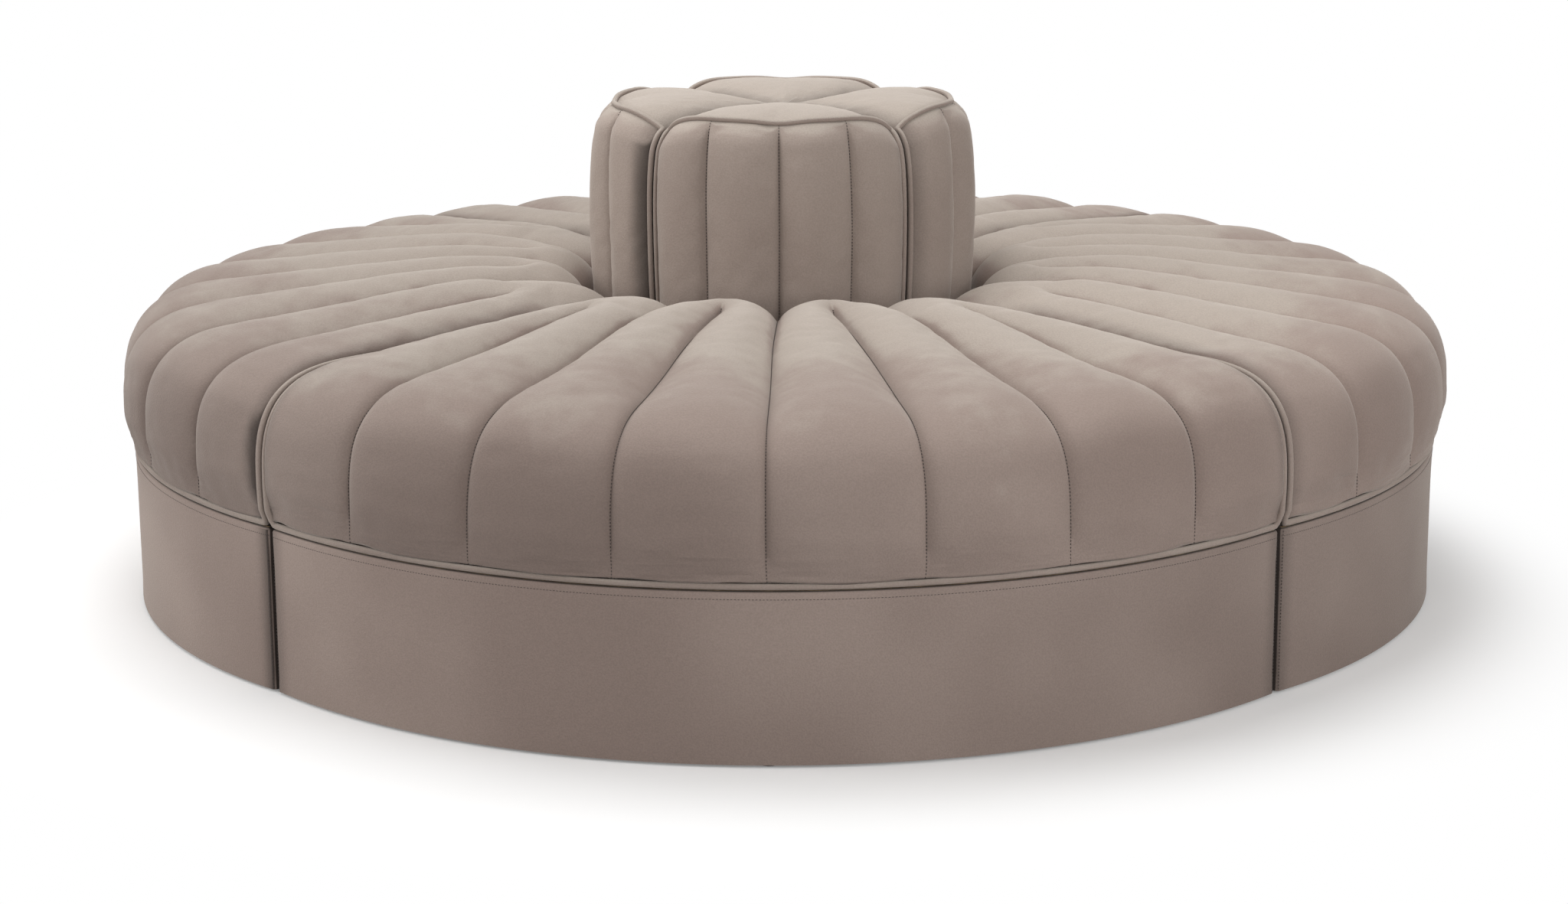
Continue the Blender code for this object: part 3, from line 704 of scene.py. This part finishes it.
def mesh_of(name, points, faces, painted_shade=None):
    """Mesh from points and faces, welded where its points meet, with its faces outwards."""
    mesh = bpy.data.meshes.new(name)
    mesh.from_pydata([tuple(point) for point in points], [], faces)
    if painted_shade is not None:
        layer = mesh.attributes.new(PAINTED_SHADE_ATTRIBUTE, "FLOAT", "POINT")
        layer.data.foreach_set("value", np.asarray(painted_shade, dtype=np.float32))
    bm = bmesh.new()
    bm.from_mesh(mesh)
    bmesh.ops.remove_doubles(bm, verts=bm.verts, dist=WELD)
    bmesh.ops.triangulate(bm, faces=[face for face in bm.faces if len(face.verts) > 4])
    bmesh.ops.recalc_face_normals(bm, faces=bm.faces)
    bm.to_mesh(mesh)
    bm.free()
    return mesh


def foam_material():
    """Open-cell foam with its pores."""
    made, tree, shader, place = new_material("seat_foam", FOAM_ROUGHNESS)
    cells = add_node(tree, "ShaderNodeTexVoronoi", {"Vector": place, "Scale": FOAM_CELLS})
    tone = add_noise(tree, place, *FOAM_TONE)
    set_inputs(tree, shader, {"Base Color": add_blend(tree, tone, *FOAM_COLOURS)})
    add_bump(tree, shader, cells.outputs["Distance"], FOAM_CELL_DEPTH)
    return made


def foam_mesh():
    """Block between two arcs and two flat sides, with eased edges."""
    inner = seat_inner_radius + PADDING_BACK
    lean = math.asin(PADDING_SIDE / inner)
    outside = front_arc(PADDING_FRONT, PADDING_SIDE, FOAM_STEPS)
    inside = arc(inner, lean, QUARTER - lean, FOAM_STEPS)
    top = SEAM_HEIGHT - PADDING_TOP
    points = []
    for line, height in ((inside, cushion_bottom), (outside, cushion_bottom),
                         (outside, top), (inside, top)):
        points += [(x, y, height) for x, y in line]
    count = FOAM_STEPS + 1
    faces = []
    for ring in range(4):
        nearer, further = ring * count, (ring + 1) % 4 * count
        for step in range(FOAM_STEPS):
            faces.append((nearer + step, nearer + step + 1, further + step + 1, further + step))
    faces.append((0, count, 2 * count, 3 * count))
    faces.append(tuple(ring * count + FOAM_STEPS for ring in (3, 2, 1, 0)))
    block = placed("seat_foam", mesh_of("seat_foam", points, faces))
    ease = block.modifiers.new("ease", "BEVEL")
    ease.width = FOAM_EASE
    ease.segments = 3
    ease.limit_method = "ANGLE"
    ease.angle_limit = math.radians(FOAM_EASE_ANGLE)
    return off_bench(block)


def deck_lining_mesh():
    """Strip of cloth glued over the deck between the seat and the backrest."""
    levels = [cushion_bottom - share * CUSHION_GAP for share in LINING_LEVELS]
    rings = []
    for radius in (BACK_RADIUS - LINING_TUCK, seat_inner_radius + LINING_LAP):
        start = math.asin((half_gap + LINING_LAP) / radius)
        rings.append(arc(radius, start, QUARTER - start, FOAM_STEPS))
    around = np.concatenate([rings[0], rings[1][::-1]])
    count = len(around)
    points = [(x, y, level) for level in levels for x, y in around]
    faces = [(i, (i + 1) % count, (i + 1) % count + count, i + count) for i in range(count)]
    for first in (0, count):
        faces += [(first + i, first + i + 1, first + count - 2 - i, first + count - 1 - i)
                  for i in range(len(rings[0]) - 1)]
    return mesh_of("deck_lining", points, faces)


fit_to_modules("seat_foam_block", foam_mesh(), foam_material(),
               replaced="seat_foam")
# The lining takes the base velvet, whose painted groove shade makes it dark all over
fit_to_modules("deck_lining", deck_lining_mesh(), base_velvet)

# Seat covers
# Velvet quilted into eight stuffed channels, sewn through to the foam along the seams and
# pulled down over the front. Every second seam stops short of the backrest, where two
# channels run together into one lobe.
CHANNELS = 8
CHANNEL_EDGE_ANGLE = 10.4
CHANNEL_STEPS = 12
CHANNEL_RISE = 0.026
CHANNEL_FADE = 0.055
CHANNEL_FADE_FROM = 0.10
SEAT_BELLY_OVERHANG = 0.002
SEAT_BELLY_HEIGHT = 0.300
SEAT_FOOT_TUCK = 0.008
SEAT_FOOT_HEIGHT = 0.0105
SEAT_FOOT_ROUND = 0.0035
SEAT_FRONT_ROUND = 0.180
SEAT_BACK_ROUND = 0.105
SEAT_BACK_SHOULDER = 0.350
SEAT_ROUNDNESS = 3.2
PROFILE_STEPS = 60
SEAT_DOME = 0.034
SEAT_DOME_EXPONENT = 8.0
SEAT_DOME_START = 0.100
SEAT_DOME_FULL = 0.500
OUTER_LOBE_MERGE = (0.470, 0.520)
INNER_LOBE_MERGE = (0.390, 0.435)
INNER_LOBES = 0.5
FRONT_RISE_SHARE = 0.62
PUFF_EXPONENT = 0.6
SIDE_PUFF_EXPONENT = 0.25
SIDE_CROWDING = 1.5
SIDE_SINK = 0.016
LEDGE_LIFT = 0.005
LOBE_SINK = 0.016
END_SINK = 0.018
LOBE_SINK_REACH = 0.190
ROW_PITCH = 0.009
FOOT_ROW_PITCH = 0.0015
SIDE_ROWS = 10
PIPING_LEDGE = 0.008
SWELL_START_SHARE = 0.86
SWELL_CAP = 0.006
SWELL_FRAMES = 20
CLOTH = {"vertex_group_mass": "sewn", "quality": 6, "mass": 0.02, "tension_stiffness": 18,
         "compression_stiffness": 12, "bending_stiffness": 1.0, "use_pressure": True,
         "uniform_pressure_force": 1.6, "shrink_min": -0.005}
RIM_ANGLE = math.radians(50)
COVER_SHARP_ANGLE = 60.0
SEAM_PULL = 0.003
BACK_SIDE_SHARE = 0.91
BACK_SIDE_EXPONENT = 4.0


def front_bulge(turn):
    """How far the front stands out past a true circle at an angle."""
    off_middle = turn - QUARTER / 2
    along = front_arc_offset * np.cos(off_middle)
    across = front_arc_offset * np.sin(off_middle)
    return along + np.sqrt(front_arc_radius ** 2 - across ** 2) - base_radius


def rounding(share, exponent):
    """Points on a rounded corner, from (0, 1) to (1, 0)."""
    turn = share * QUARTER
    return np.sin(turn) ** (2 / exponent), np.maximum(0, np.cos(turn)) ** (2 / exponent)


def puff(place, by_side=False):
    """Height of a stuffed channel from 0 at its seams, -1 and 1, to 1 at its crest."""
    exponent = np.where(by_side, SIDE_PUFF_EXPONENT, PUFF_EXPONENT)
    return np.maximum(0.0, 1 - place ** 2) ** exponent


def evenly(profile, pitch):
    """The same line with its points spread evenly."""
    steps = np.linalg.norm(np.diff(profile, axis=0), axis=1)
    reach = np.concatenate([[0], np.cumsum(steps)])
    places = np.linspace(0, reach[-1], round(reach[-1] / pitch) + 1)
    return np.stack([np.interp(places, reach, axis) for axis in profile.T], 1)


def outward_of(profile):
    """Direction out of a profile that runs from its inner foot over the top to its outer foot."""
    along = np.gradient(profile, axis=0)
    out = np.stack([-along[:, 1], along[:, 0]], 1)
    return out / np.linalg.norm(out, axis=1)[:, None]


def seat_profile():
    """Seam line of the seat from its inner foot to its outer foot, as radius and height."""
    belly = base_radius + SEAT_BELLY_OVERHANG
    back_top = seat_inner_radius + SEAT_BACK_ROUND
    front_top = belly - SEAT_FRONT_ROUND
    shares = np.linspace(0, 1, PROFILE_STEPS)
    inwards, upwards = rounding(1 - shares, SEAT_ROUNDNESS)
    back = np.stack([back_top - SEAT_BACK_ROUND * inwards,
                     SEAT_BACK_SHOULDER + (SEAM_HEIGHT - SEAT_BACK_SHOULDER) * upwards], 1)
    outwards, upwards = rounding(shares, SEAT_ROUNDNESS)
    front = np.stack([front_top + SEAT_FRONT_ROUND * outwards,
                      SEAT_BELLY_HEIGHT + (SEAM_HEIGHT - SEAT_BELLY_HEIGHT) * upwards], 1)
    foot = [(seat_inner_radius, cushion_bottom)]
    inwards = 1 - np.sqrt(1 - shares ** 2)
    end = np.stack([base_radius - SEAT_FOOT_TUCK * inwards,
                    cushion_bottom + SEAT_FOOT_HEIGHT + SEAT_FOOT_ROUND * (1 - shares)], 1)
    end = np.concatenate([end, [(base_radius - SEAT_FOOT_TUCK, cushion_bottom)]])
    top = evenly(np.concatenate([foot, back, front]), ROW_PITCH)
    return np.concatenate([top[:-1], evenly(np.concatenate([top[-1:], end]), FOOT_ROW_PITCH)])


def seat_seams():
    """Angles of the seams across a seat module, with its two flat sides."""
    edge = math.radians(CHANNEL_EDGE_ANGLE)
    return np.concatenate([[0.0], np.linspace(edge, QUARTER - edge, CHANNELS - 1), [QUARTER]])


def with_sides(columns, first, last):
    """The same columns with one more at each flat side."""
    start = np.full(columns.shape[:-1] + (1,), first)
    end = np.full(columns.shape[:-1] + (1,), last)
    return np.concatenate([start, columns, end], -1)


def quilt_columns(seams, steps):
    """Angle, place in the channel, place in the pair of channels, and seam number (or -1).

    The columns on the two flat sides themselves have no angle yet.
    """
    even = np.linspace(-1, 1, steps + 1)
    inner = 0.5 * np.sin(even * QUARTER) + 0.5 * even
    by_left = np.where(inner < 0, np.abs(1 + inner) ** SIDE_CROWDING - 1, inner)
    turns, places, lobes, numbers = [], [], [], []
    for index in range(len(seams) - 1):
        by_side = {0: by_left, len(seams) - 2: -by_left[::-1]}
        shares = by_side.get(index, inner)
        first = index - index % 2
        middle = (seams[first] + seams[first + 2]) / 2
        half = (seams[first + 2] - seams[first]) / 2
        turn = seams[index] + (seams[index + 1] - seams[index]) * (shares + 1) / 2
        last = None if index == len(seams) - 2 else -1
        ends = np.abs(shares) == 1
        turns.append(turn[:last])
        places.append(shares[:last])
        lobes.append(((turn - middle) / half)[:last])
        numbers.append(np.where(ends, np.where(shares < 0, index, index + 1), -1)[:last])
    turn, place, lobe, number = map(np.concatenate, (turns, places, lobes, numbers))
    return (turn, with_sides(place, -1.0, 1.0), with_sides(lobe, -1.0, 1.0),
            with_sides(number, 0, len(seams) - 1))


def beside_piping(turn, radius, seams, ledge):
    """Angles with the flat sides added, and the end channels moved in past a piping ledge."""
    edge = seams[1]
    margin = ledge / radius
    squeeze = (edge - margin) / edge
    near = np.where(turn < edge, margin + turn * squeeze, turn)
    turn = np.where(turn > QUARTER - edge, QUARTER - margin - (QUARTER - turn) * squeeze, near)
    return with_sides(turn, 0.0, QUARTER)


def drawn_in(turn):
    """How far a backrest lobe and the seat round it are drawn in towards the flat sides."""
    across = np.abs(2 * turn / QUARTER - 1)
    return (1 - BACK_SIDE_SHARE) * across ** BACK_SIDE_EXPONENT


def merge_share(radius, turn):
    """0 where two channels have run together into a lobe, 1 where the seam parts them."""
    inner_lobe = np.abs(2 * turn / QUARTER - 1) < INNER_LOBES
    start = np.where(inner_lobe, INNER_LOBE_MERGE[0], OUTER_LOBE_MERGE[0])
    end = np.where(inner_lobe, INNER_LOBE_MERGE[1], OUTER_LOBE_MERGE[1])
    return smooth((radius - start) / (end - start))


def seat_dome(radius, height, turn):
    """How far the seat is stuffed up between its flat sides, more towards the backrest."""
    across = np.abs(2 * turn / QUARTER - 1)
    depth = base_radius - radius
    inwards = smooth((depth - SEAT_DOME_START) / (SEAT_DOME_FULL - SEAT_DOME_START))
    upwards = (height - cushion_bottom) / (SEAM_HEIGHT - cushion_bottom)
    return SEAT_DOME * inwards * upwards * (1 - across ** SEAT_DOME_EXPONENT)


def lobe_sink(radius, lobe, turn):
    """How far the seat falls, close to the backrest, beside each lobe and towards the splits."""
    near = 1 - smooth((radius - seat_inner_radius) / LOBE_SINK_REACH)
    across = 2 * turn / QUARTER - 1
    return near * (LOBE_SINK * lobe ** 2 + END_SINK * across ** 2)


def seat_grid(rise_share, pull=SEAM_PULL):
    """Points of the quilted top and front: rows from the inner foot, columns across."""
    profile = seat_profile()
    normals = outward_of(profile)
    seams = seat_seams()
    turn, channel, lobe, number = quilt_columns(seams, CHANNEL_STEPS)
    radius, height = profile[:, :1], profile[:, 1:]
    turn = beside_piping(turn, radius, seams, PIPING_LEDGE)
    steep = np.maximum(0, normals[:, :1])
    above = height - cushion_bottom - SEAT_FOOT_HEIGHT
    fade = CHANNEL_FADE_FROM * smooth(above / SEAT_FOOT_ROUND)
    fade = fade + (1 - CHANNEL_FADE_FROM) * smooth(above / CHANNEL_FADE)
    by_side = (turn < seams[1] / 2) | (turn > QUARTER - seams[1] / 2)
    rise = CHANNEL_RISE * rise_share * fade * (1 - (1 - FRONT_RISE_SHARE) * steep)
    split = merge_share(radius, turn)
    plump = split * puff(channel, by_side) + (1 - split) * puff(lobe)
    lift = rise * plump + LEDGE_LIFT * fade * by_side * (1 - plump)
    sewn = (number > 0) & (number < CHANNELS)
    lift = lift - pull * fade * split * sewn
    lift[:, [0, -1]] -= (SIDE_SINK + LEDGE_LIFT) * fade
    near_back = 1 - smooth((radius - seat_inner_radius) / SEAT_BACK_ROUND)
    near_front = smooth((radius - seat_inner_radius) / (base_radius - seat_inner_radius))
    out = radius + lift * normals[:, :1] + near_front * front_bulge(turn)
    out -= near_back * drawn_in(turn) * seat_inner_radius
    up = height + lift * normals[:, 1:] + seat_dome(radius, height, turn)
    up -= lobe_sink(radius, lobe, turn) * smooth(above / CHANNEL_FADE)
    shift = CUSHION_GAP / 2
    points = np.stack([out * np.cos(turn) + shift, out * np.sin(turn) + shift, up], 2)
    held = (number >= 0) & ((number % 2 == 0) | (split > 0.5))
    return points, held, number


def quilted_body(name, points, mouth_rows):
    """Closed body over a grid: flat sides in rows of faces, and a flat bottom.

    Painted shade darkens both flat edges, over the first rows of the grid.
    """
    rows, columns = points.shape[:2]
    verts = list(points.reshape(-1, 3))
    painted_shade = np.zeros((rows, columns))
    painted_shade[:mouth_rows, [0, -1]] = 1.0
    faces = []
    for row in range(rows - 1):
        for column in range(columns - 1):
            first = row * columns + column
            faces.append((first, first + columns, first + columns + 1, first + 1))
    floor = points[0, 0, 2]
    feet = []
    for column in (0, columns - 1):
        edge = points[:, column]
        foot = edge[0] + (edge[-1] - edge[0]) * np.linspace(0, 1, rows)[:, None]
        foot[:, 2] = floor
        rings = [[row * columns + column for row in range(rows)]]
        for step in range(1, SIDE_ROWS + 1):
            line = edge + (foot - edge) * step / SIDE_ROWS
            rings.append(list(range(len(verts), len(verts) + rows)))
            verts += list(line)
        for upper, lower in zip(rings, rings[1:]):
            for row in range(rows - 1):
                faces.append((upper[row], upper[row + 1], lower[row + 1], lower[row]))
        feet.append(rings[-1])
    left_foot, right_foot = feet
    front_foot = [(rows - 1) * columns + column for column in range(columns)]
    back_foot = list(range(columns))
    faces.append(back_foot + right_foot[1:-1] + front_foot[::-1] + left_foot[-2:0:-1])
    painted_shade = np.concatenate([painted_shade.ravel(), np.zeros(len(verts) - painted_shade.size)])
    return mesh_of(name, verts, faces, painted_shade)


def spot_key(point):
    """Rounded place, by which a point is found again on a finished mesh."""
    return tuple(np.round(point, 5))


def swollen(mesh, free_points):
    """Let cloth pressure swell the free points of a closed cover, no further than the cap."""
    free = {spot_key(point) for point in free_points}
    start = np.array([vert.co for vert in mesh.vertices])
    loose = np.array([spot_key(point) in free for point in start])
    piece = placed("swelling", mesh)
    pins = piece.vertex_groups.new(name="sewn")
    pins.add([int(index) for index in np.nonzero(~loose)[0]], 1.0, "REPLACE")
    cloth = piece.modifiers.new("cloth", "CLOTH")
    for name, value in CLOTH.items():
        setattr(cloth.settings, name, value)
    cloth.settings.effector_weights.gravity = 0.0
    cloth.point_cache.frame_start = 1
    cloth.point_cache.frame_end = SWELL_FRAMES
    for step in range(1, SWELL_FRAMES + 1):
        scene.frame_set(step)
    swelled = off_bench(piece)
    scene.frame_set(1)
    move = np.array([vert.co for vert in swelled.vertices]) - start
    length = np.maximum(np.linalg.norm(move, axis=1), 1e-9)
    move *= np.minimum(1, SWELL_CAP / length)[:, None]
    swelled.vertices.foreach_set("co", (start + move).astype(np.float32).ravel())
    swelled.update()
    return swelled


def creased_smooth(mesh, seam_points):
    """One subdivision that keeps the seams and the rims crisp."""
    seams = {spot_key(point) for point in seam_points}
    bm = bmesh.new()
    bm.from_mesh(mesh)
    crease = bm.edges.layers.float.new("crease_edge")
    for edge in bm.edges:
        sewn = all(spot_key(vert.co) in seams for vert in edge.verts)
        rim = len(edge.link_faces) == 2 and edge.calc_face_angle() > RIM_ANGLE
        edge[crease] = 1.0 if rim or sewn else 0.0
    bm.to_mesh(mesh)
    bm.free()
    piece = placed("smoothing", mesh)
    finer = piece.modifiers.new("finer", "SUBSURF")
    finer.levels = 1
    finer.render_levels = 1
    return off_bench(piece)


def add_cover(name, grid, mouth_rows, velvet_kind, replaced):
    """Put a quilted cover on every module, swollen by cloth pressure between its seams."""
    points, held, _ = grid(SWELL_START_SHARE)
    held[0], held[-1] = True, True
    body = quilted_body(replaced, points, mouth_rows or len(points))
    body = swollen(body, points[~held])
    fit_to_modules(name, creased_smooth(body, points[held]), velvet_kind,
                   replaced=replaced, sharp=COVER_SHARP_ANGLE, sewn=True)


add_cover("seat_quilt", seat_grid, None, seat_velvet, "seat_cover")

# Seat piping and seams
# A cord covered in the same velvet is sewn into the cushion's edge: down one flat side, round
# the foot of the front and up the other. Close stitches hold each channel seam.
PIPING_RADIUS = 0.0045
PIPING_CORNER = 0.014
PIPING_CORNER_POINTS = 7
STRAIGHT_ON = -0.9
PIPING_PROUD_SHARE = 0.55
PIPING_SIDE_LIFT = 0.0065
PIPING_APART = 0.0030
PIPING_RAISED = 0.0012
PIPING_SIDES = 3
PIPING_PITCH = 0.008
PIPING_FRONT_STEPS = 160


def rounded_line(points, radius, pitch):
    """Line of points with each inner corner rounded, and its points spread evenly."""
    points = [Vector(point) for point in points]
    line = [points[0]]
    for before, corner, after in zip(points, points[1:], points[2:]):
        towards, onwards = before - corner, after - corner
        if towards.normalized().dot(onwards.normalized()) < STRAIGHT_ON:
            line.append(corner)
            continue
        start = corner + towards.normalized() * min(radius, towards.length / 2)
        end = corner + onwards.normalized() * min(radius, onwards.length / 2)
        for share in np.linspace(0, 1, PIPING_CORNER_POINTS):
            line.append(start.lerp(corner, share).lerp(corner.lerp(end, share), share))
    return evenly(np.array(line + [points[-1]]), pitch)


def add_piping(piece, line, radius):
    """Lay a covered cord along a line of points on every module, closed at its ends."""
    curve = curve_of(piece, [line])
    curve.bevel_depth = radius
    curve.bevel_resolution = PIPING_SIDES
    curve.use_fill_caps = True
    fit_to_modules(piece, off_bench(placed(piece, curve)), piping_velvet, sewn=True)


def seat_piping_line():
    """Route of the piping round one seat cushion, clear of both flat sides."""
    profile = seat_profile()
    normals = outward_of(profile)
    clear = PIPING_RADIUS + PIPING_APART
    keep = profile[:, 1] > cushion_bottom + 2 * PIPING_CORNER
    proud = profile + normals * PIPING_SIDE_LIFT
    near_back = 1 - smooth((profile[:, 0] - seat_inner_radius) / SEAT_BACK_ROUND)
    proud[:, 0] -= near_back * (1 - BACK_SIDE_SHARE) * seat_inner_radius
    proud[:, 1] -= lobe_sink(profile[:, 0], 1.0, 0.0)
    left = [(radius, clear, height) for radius, height in proud[keep]]
    foot = cushion_bottom + PIPING_RADIUS + PIPING_RAISED
    proud_by = PIPING_RADIUS * PIPING_PROUD_SHARE
    front = [(x, y, foot) for x, y in front_arc(proud_by, clear, PIPING_FRONT_STEPS)]
    right = [(y, x, z) for x, y, z in reversed(left)]
    return rounded_line(left + front + right, PIPING_CORNER, PIPING_PITCH)


def seam_lines(points, held, numbers):
    """Lines along the sewn seams of a quilted grid, from its column numbers."""
    lines = []
    for column in np.nonzero((numbers > 0) & (numbers < numbers.max()))[0]:
        line = points[held[:, column], column]
        lines.append(line[line[:, 2] > cushion_bottom + 2 * PIPING_RADIUS])
    return lines


add_piping("seat_piping", seat_piping_line(), PIPING_RADIUS)
sew("seat_stitches", seam_lines(*seat_grid(1.0, SEAM_PULL - SEAM_STITCH_THICKNESS)),
    SEAM_STITCH_THICKNESS, sewn=True)

# Backrest covers
# Each module carries one upright lobe: velvet quilted into four stuffed channels on its face,
# and a crowned top panel that falls to the middle of the sofa. Its flat sides press together.
BACK_TOP_EDGE = 0.754
BACK_RISE = 0.018
BACK_CHANNELS = 4
BACK_BELLY_HEIGHT = 0.590
BACK_FOOT_RADIUS = 0.259
BACK_TOP_RADIUS = 0.261
BACK_ROUNDNESS = 2.4
BACK_CROWN = 0.009
BACK_CROWN_FALL = 0.6
BACK_TOP_SINK = 0.011
BACK_TOP_EASE = 0.045
BACK_APEX_RADIUS = 0.006
BACK_CORNER_DROP = 0.048
BACK_CORNER_WIDTH = 0.095
BACK_MIDDLE_DIP = 0.004
BACK_DIP_WIDTH = 0.16
BACK_TOP_FADE = 0.035
BACK_EDGE_FULLNESS = 0.12
BACK_EDGE_BLEND = 0.45
AT_END = 0.999
BACK_PIPING_RADIUS = 0.0042
BACK_PIPING_LEDGE = 0.009
BACK_SIDE_SINK = 0.026
BACK_SINK_FADE = 0.090
BACK_STEPS = {"lower": 34, "upper": 18, "top": 22, "middle": 12}
BACK_FACE_ROWS = BACK_STEPS["lower"] + BACK_STEPS["upper"]


def back_edge_height(turn):
    """Height of the edge between a lobe's face and its top panel."""
    across = np.abs(2 * turn / QUARTER - 1)
    from_notch = (1 - across) * QUARTER / 2 * BACK_TOP_RADIUS
    corner = np.clip(1 - from_notch / BACK_CORNER_WIDTH, 0, 1)
    drop = BACK_CORNER_DROP * (1 - np.sqrt(1 - corner ** 2))
    dip = BACK_MIDDLE_DIP * np.exp(-(across / BACK_DIP_WIDTH) ** 2)
    return BACK_TOP_EDGE - drop - dip


def back_grid(rise_share, pull=SEAM_PULL):
    """Points of a lobe's face and top: rows from the foot to the middle, columns across."""
    seams = np.linspace(0, QUARTER, BACK_CHANNELS + 1)
    turn, channel, _, number = quilt_columns(seams, CHANNEL_STEPS)
    turn = beside_piping(turn, BACK_TOP_RADIUS, seams, BACK_PIPING_LEDGE)
    edge = back_edge_height(turn)
    across = np.abs(2 * turn / QUARTER - 1)
    rows, held = [], []
    shift = CUSHION_GAP / 2
    sewn = (number > 0) & (number < BACK_CHANNELS)
    by_side = (turn < seams[1] / 2) | (turn > QUARTER - seams[1] / 2)

    def add_row(radius, height, lift, pinned):
        out = radius * (1 - drawn_in(turn)) + lift
        rows.append(np.stack([out * np.cos(turn) + shift, out * np.sin(turn) + shift,
                              np.broadcast_to(height, out.shape)], 1))
        held.append(pinned)

    def add_face_row(radius, height):
        fade = smooth((height - cushion_bottom) / CHANNEL_FADE)
        fade = fade * smooth((edge - height) / BACK_TOP_FADE + BACK_EDGE_FULLNESS)
        plump = puff(channel, by_side)
        lift = BACK_RISE * rise_share * fade * plump - pull * fade * sewn
        lift = lift + LEDGE_LIFT * fade * by_side * (1 - plump)
        deeper = smooth((height - cushion_bottom) / CHANNEL_FADE)
        deeper = deeper * smooth((edge - height) / BACK_SINK_FADE)
        lift[[0, -1]] -= BACK_SIDE_SINK * deeper[[0, -1]]
        add_row(radius, height, lift, number >= 0)

    for share in np.linspace(0, 1, BACK_STEPS["lower"] + 1):
        height = cushion_bottom + (BACK_BELLY_HEIGHT - cushion_bottom) * share
        radius = BACK_RADIUS - (BACK_RADIUS - BACK_FOOT_RADIUS) * (1 - share) ** 2
        add_face_row(radius, height)
    for share in np.linspace(0, 1, BACK_STEPS["upper"] + 1)[1:]:
        outwards, upwards = rounding(1 - share, BACK_ROUNDNESS)
        radius = BACK_TOP_RADIUS + (BACK_RADIUS - BACK_TOP_RADIUS) * outwards
        add_face_row(radius, BACK_BELLY_HEIGHT + (edge - BACK_BELLY_HEIGHT) * upwards)
    held[-1] = np.ones(len(turn), bool)
    for share in np.linspace(0, 1, BACK_STEPS["top"] + 1)[1:]:
        radius = BACK_TOP_RADIUS + (BACK_APEX_RADIUS - BACK_TOP_RADIUS) * share
        blend = smooth(share / BACK_EDGE_BLEND)
        crown = BACK_CROWN * math.sin(math.pi * math.sqrt(share))
        crown = crown * (1 - BACK_CROWN_FALL * across ** 2)
        from_side = radius * np.sin(np.minimum(turn, QUARTER - turn))
        sink = BACK_TOP_SINK * np.maximum(0, 1 - from_side / BACK_TOP_EASE) ** 2
        height = edge * (1 - blend) + (BACK_TOP_EDGE - sink) * blend + crown
        add_row(radius, height, 0.0, (across > AT_END) | (share > AT_END))
    top = rows[-1][:, 2]
    for share in np.linspace(0, 1, BACK_STEPS["middle"] + 1)[1:]:
        height = top + (cushion_bottom - top) * share
        add_row(BACK_APEX_RADIUS, height, 0.0, np.ones(len(turn), bool))
    held[0] = np.ones(len(turn), bool)
    return np.array(rows), np.array(held), number


add_cover("back_quilt", back_grid, BACK_FACE_ROWS, back_velvet, "back_cover")

# Backrest piping and seams
# Finer piping runs up one edge of each lobe's face, round the two upper corners and down the
# other edge, where it meets the piping of the next lobe in the notch.
BACK_PROUD_SHARE = 0.7
BACK_PIPING_PITCH = PIPING_PITCH * 0.7
BACK_PIPING_FIRST_ROW = 6
BACK_BESIDE_REACH = 0.0015


def back_piping_line():
    """Route of the piping round the face of one lobe, clear of both flat sides."""
    points = back_grid(1.0)[0]
    edge_row = BACK_FACE_ROWS
    sides = points[BACK_PIPING_FIRST_ROW:edge_row]
    line = np.concatenate([sides[:, 1], points[edge_row, 1:-1], sides[::-1, -2]])
    flat = line[:, :2]
    reach = np.linalg.norm(flat, axis=1)[:, None]
    flat = flat * (1 + BACK_PIPING_RADIUS * BACK_PROUD_SHARE / reach)
    clear = BACK_PIPING_RADIUS + PIPING_APART
    beside = np.abs(flat.min(axis=1) - BACK_PIPING_LEDGE) < BACK_BESIDE_REACH
    flat = np.where((flat < 2 * BACK_PIPING_LEDGE) & beside[:, None], clear, flat)
    line = np.column_stack([np.maximum(flat, clear), line[:, 2]])
    line[:, 2] += BACK_PIPING_RADIUS * BACK_PROUD_SHARE
    return rounded_line(line, 0.0, BACK_PIPING_PITCH)


back_points, back_held, back_numbers = back_grid(1.0, SEAM_PULL - SEAM_STITCH_THICKNESS)
back_face = slice(0, BACK_FACE_ROWS + 1)
add_piping("back_piping", back_piping_line(), BACK_PIPING_RADIUS)
sew("back_stitches", seam_lines(back_points[back_face], back_held[back_face], back_numbers),
    SEAM_STITCH_THICKNESS, sewn=True)
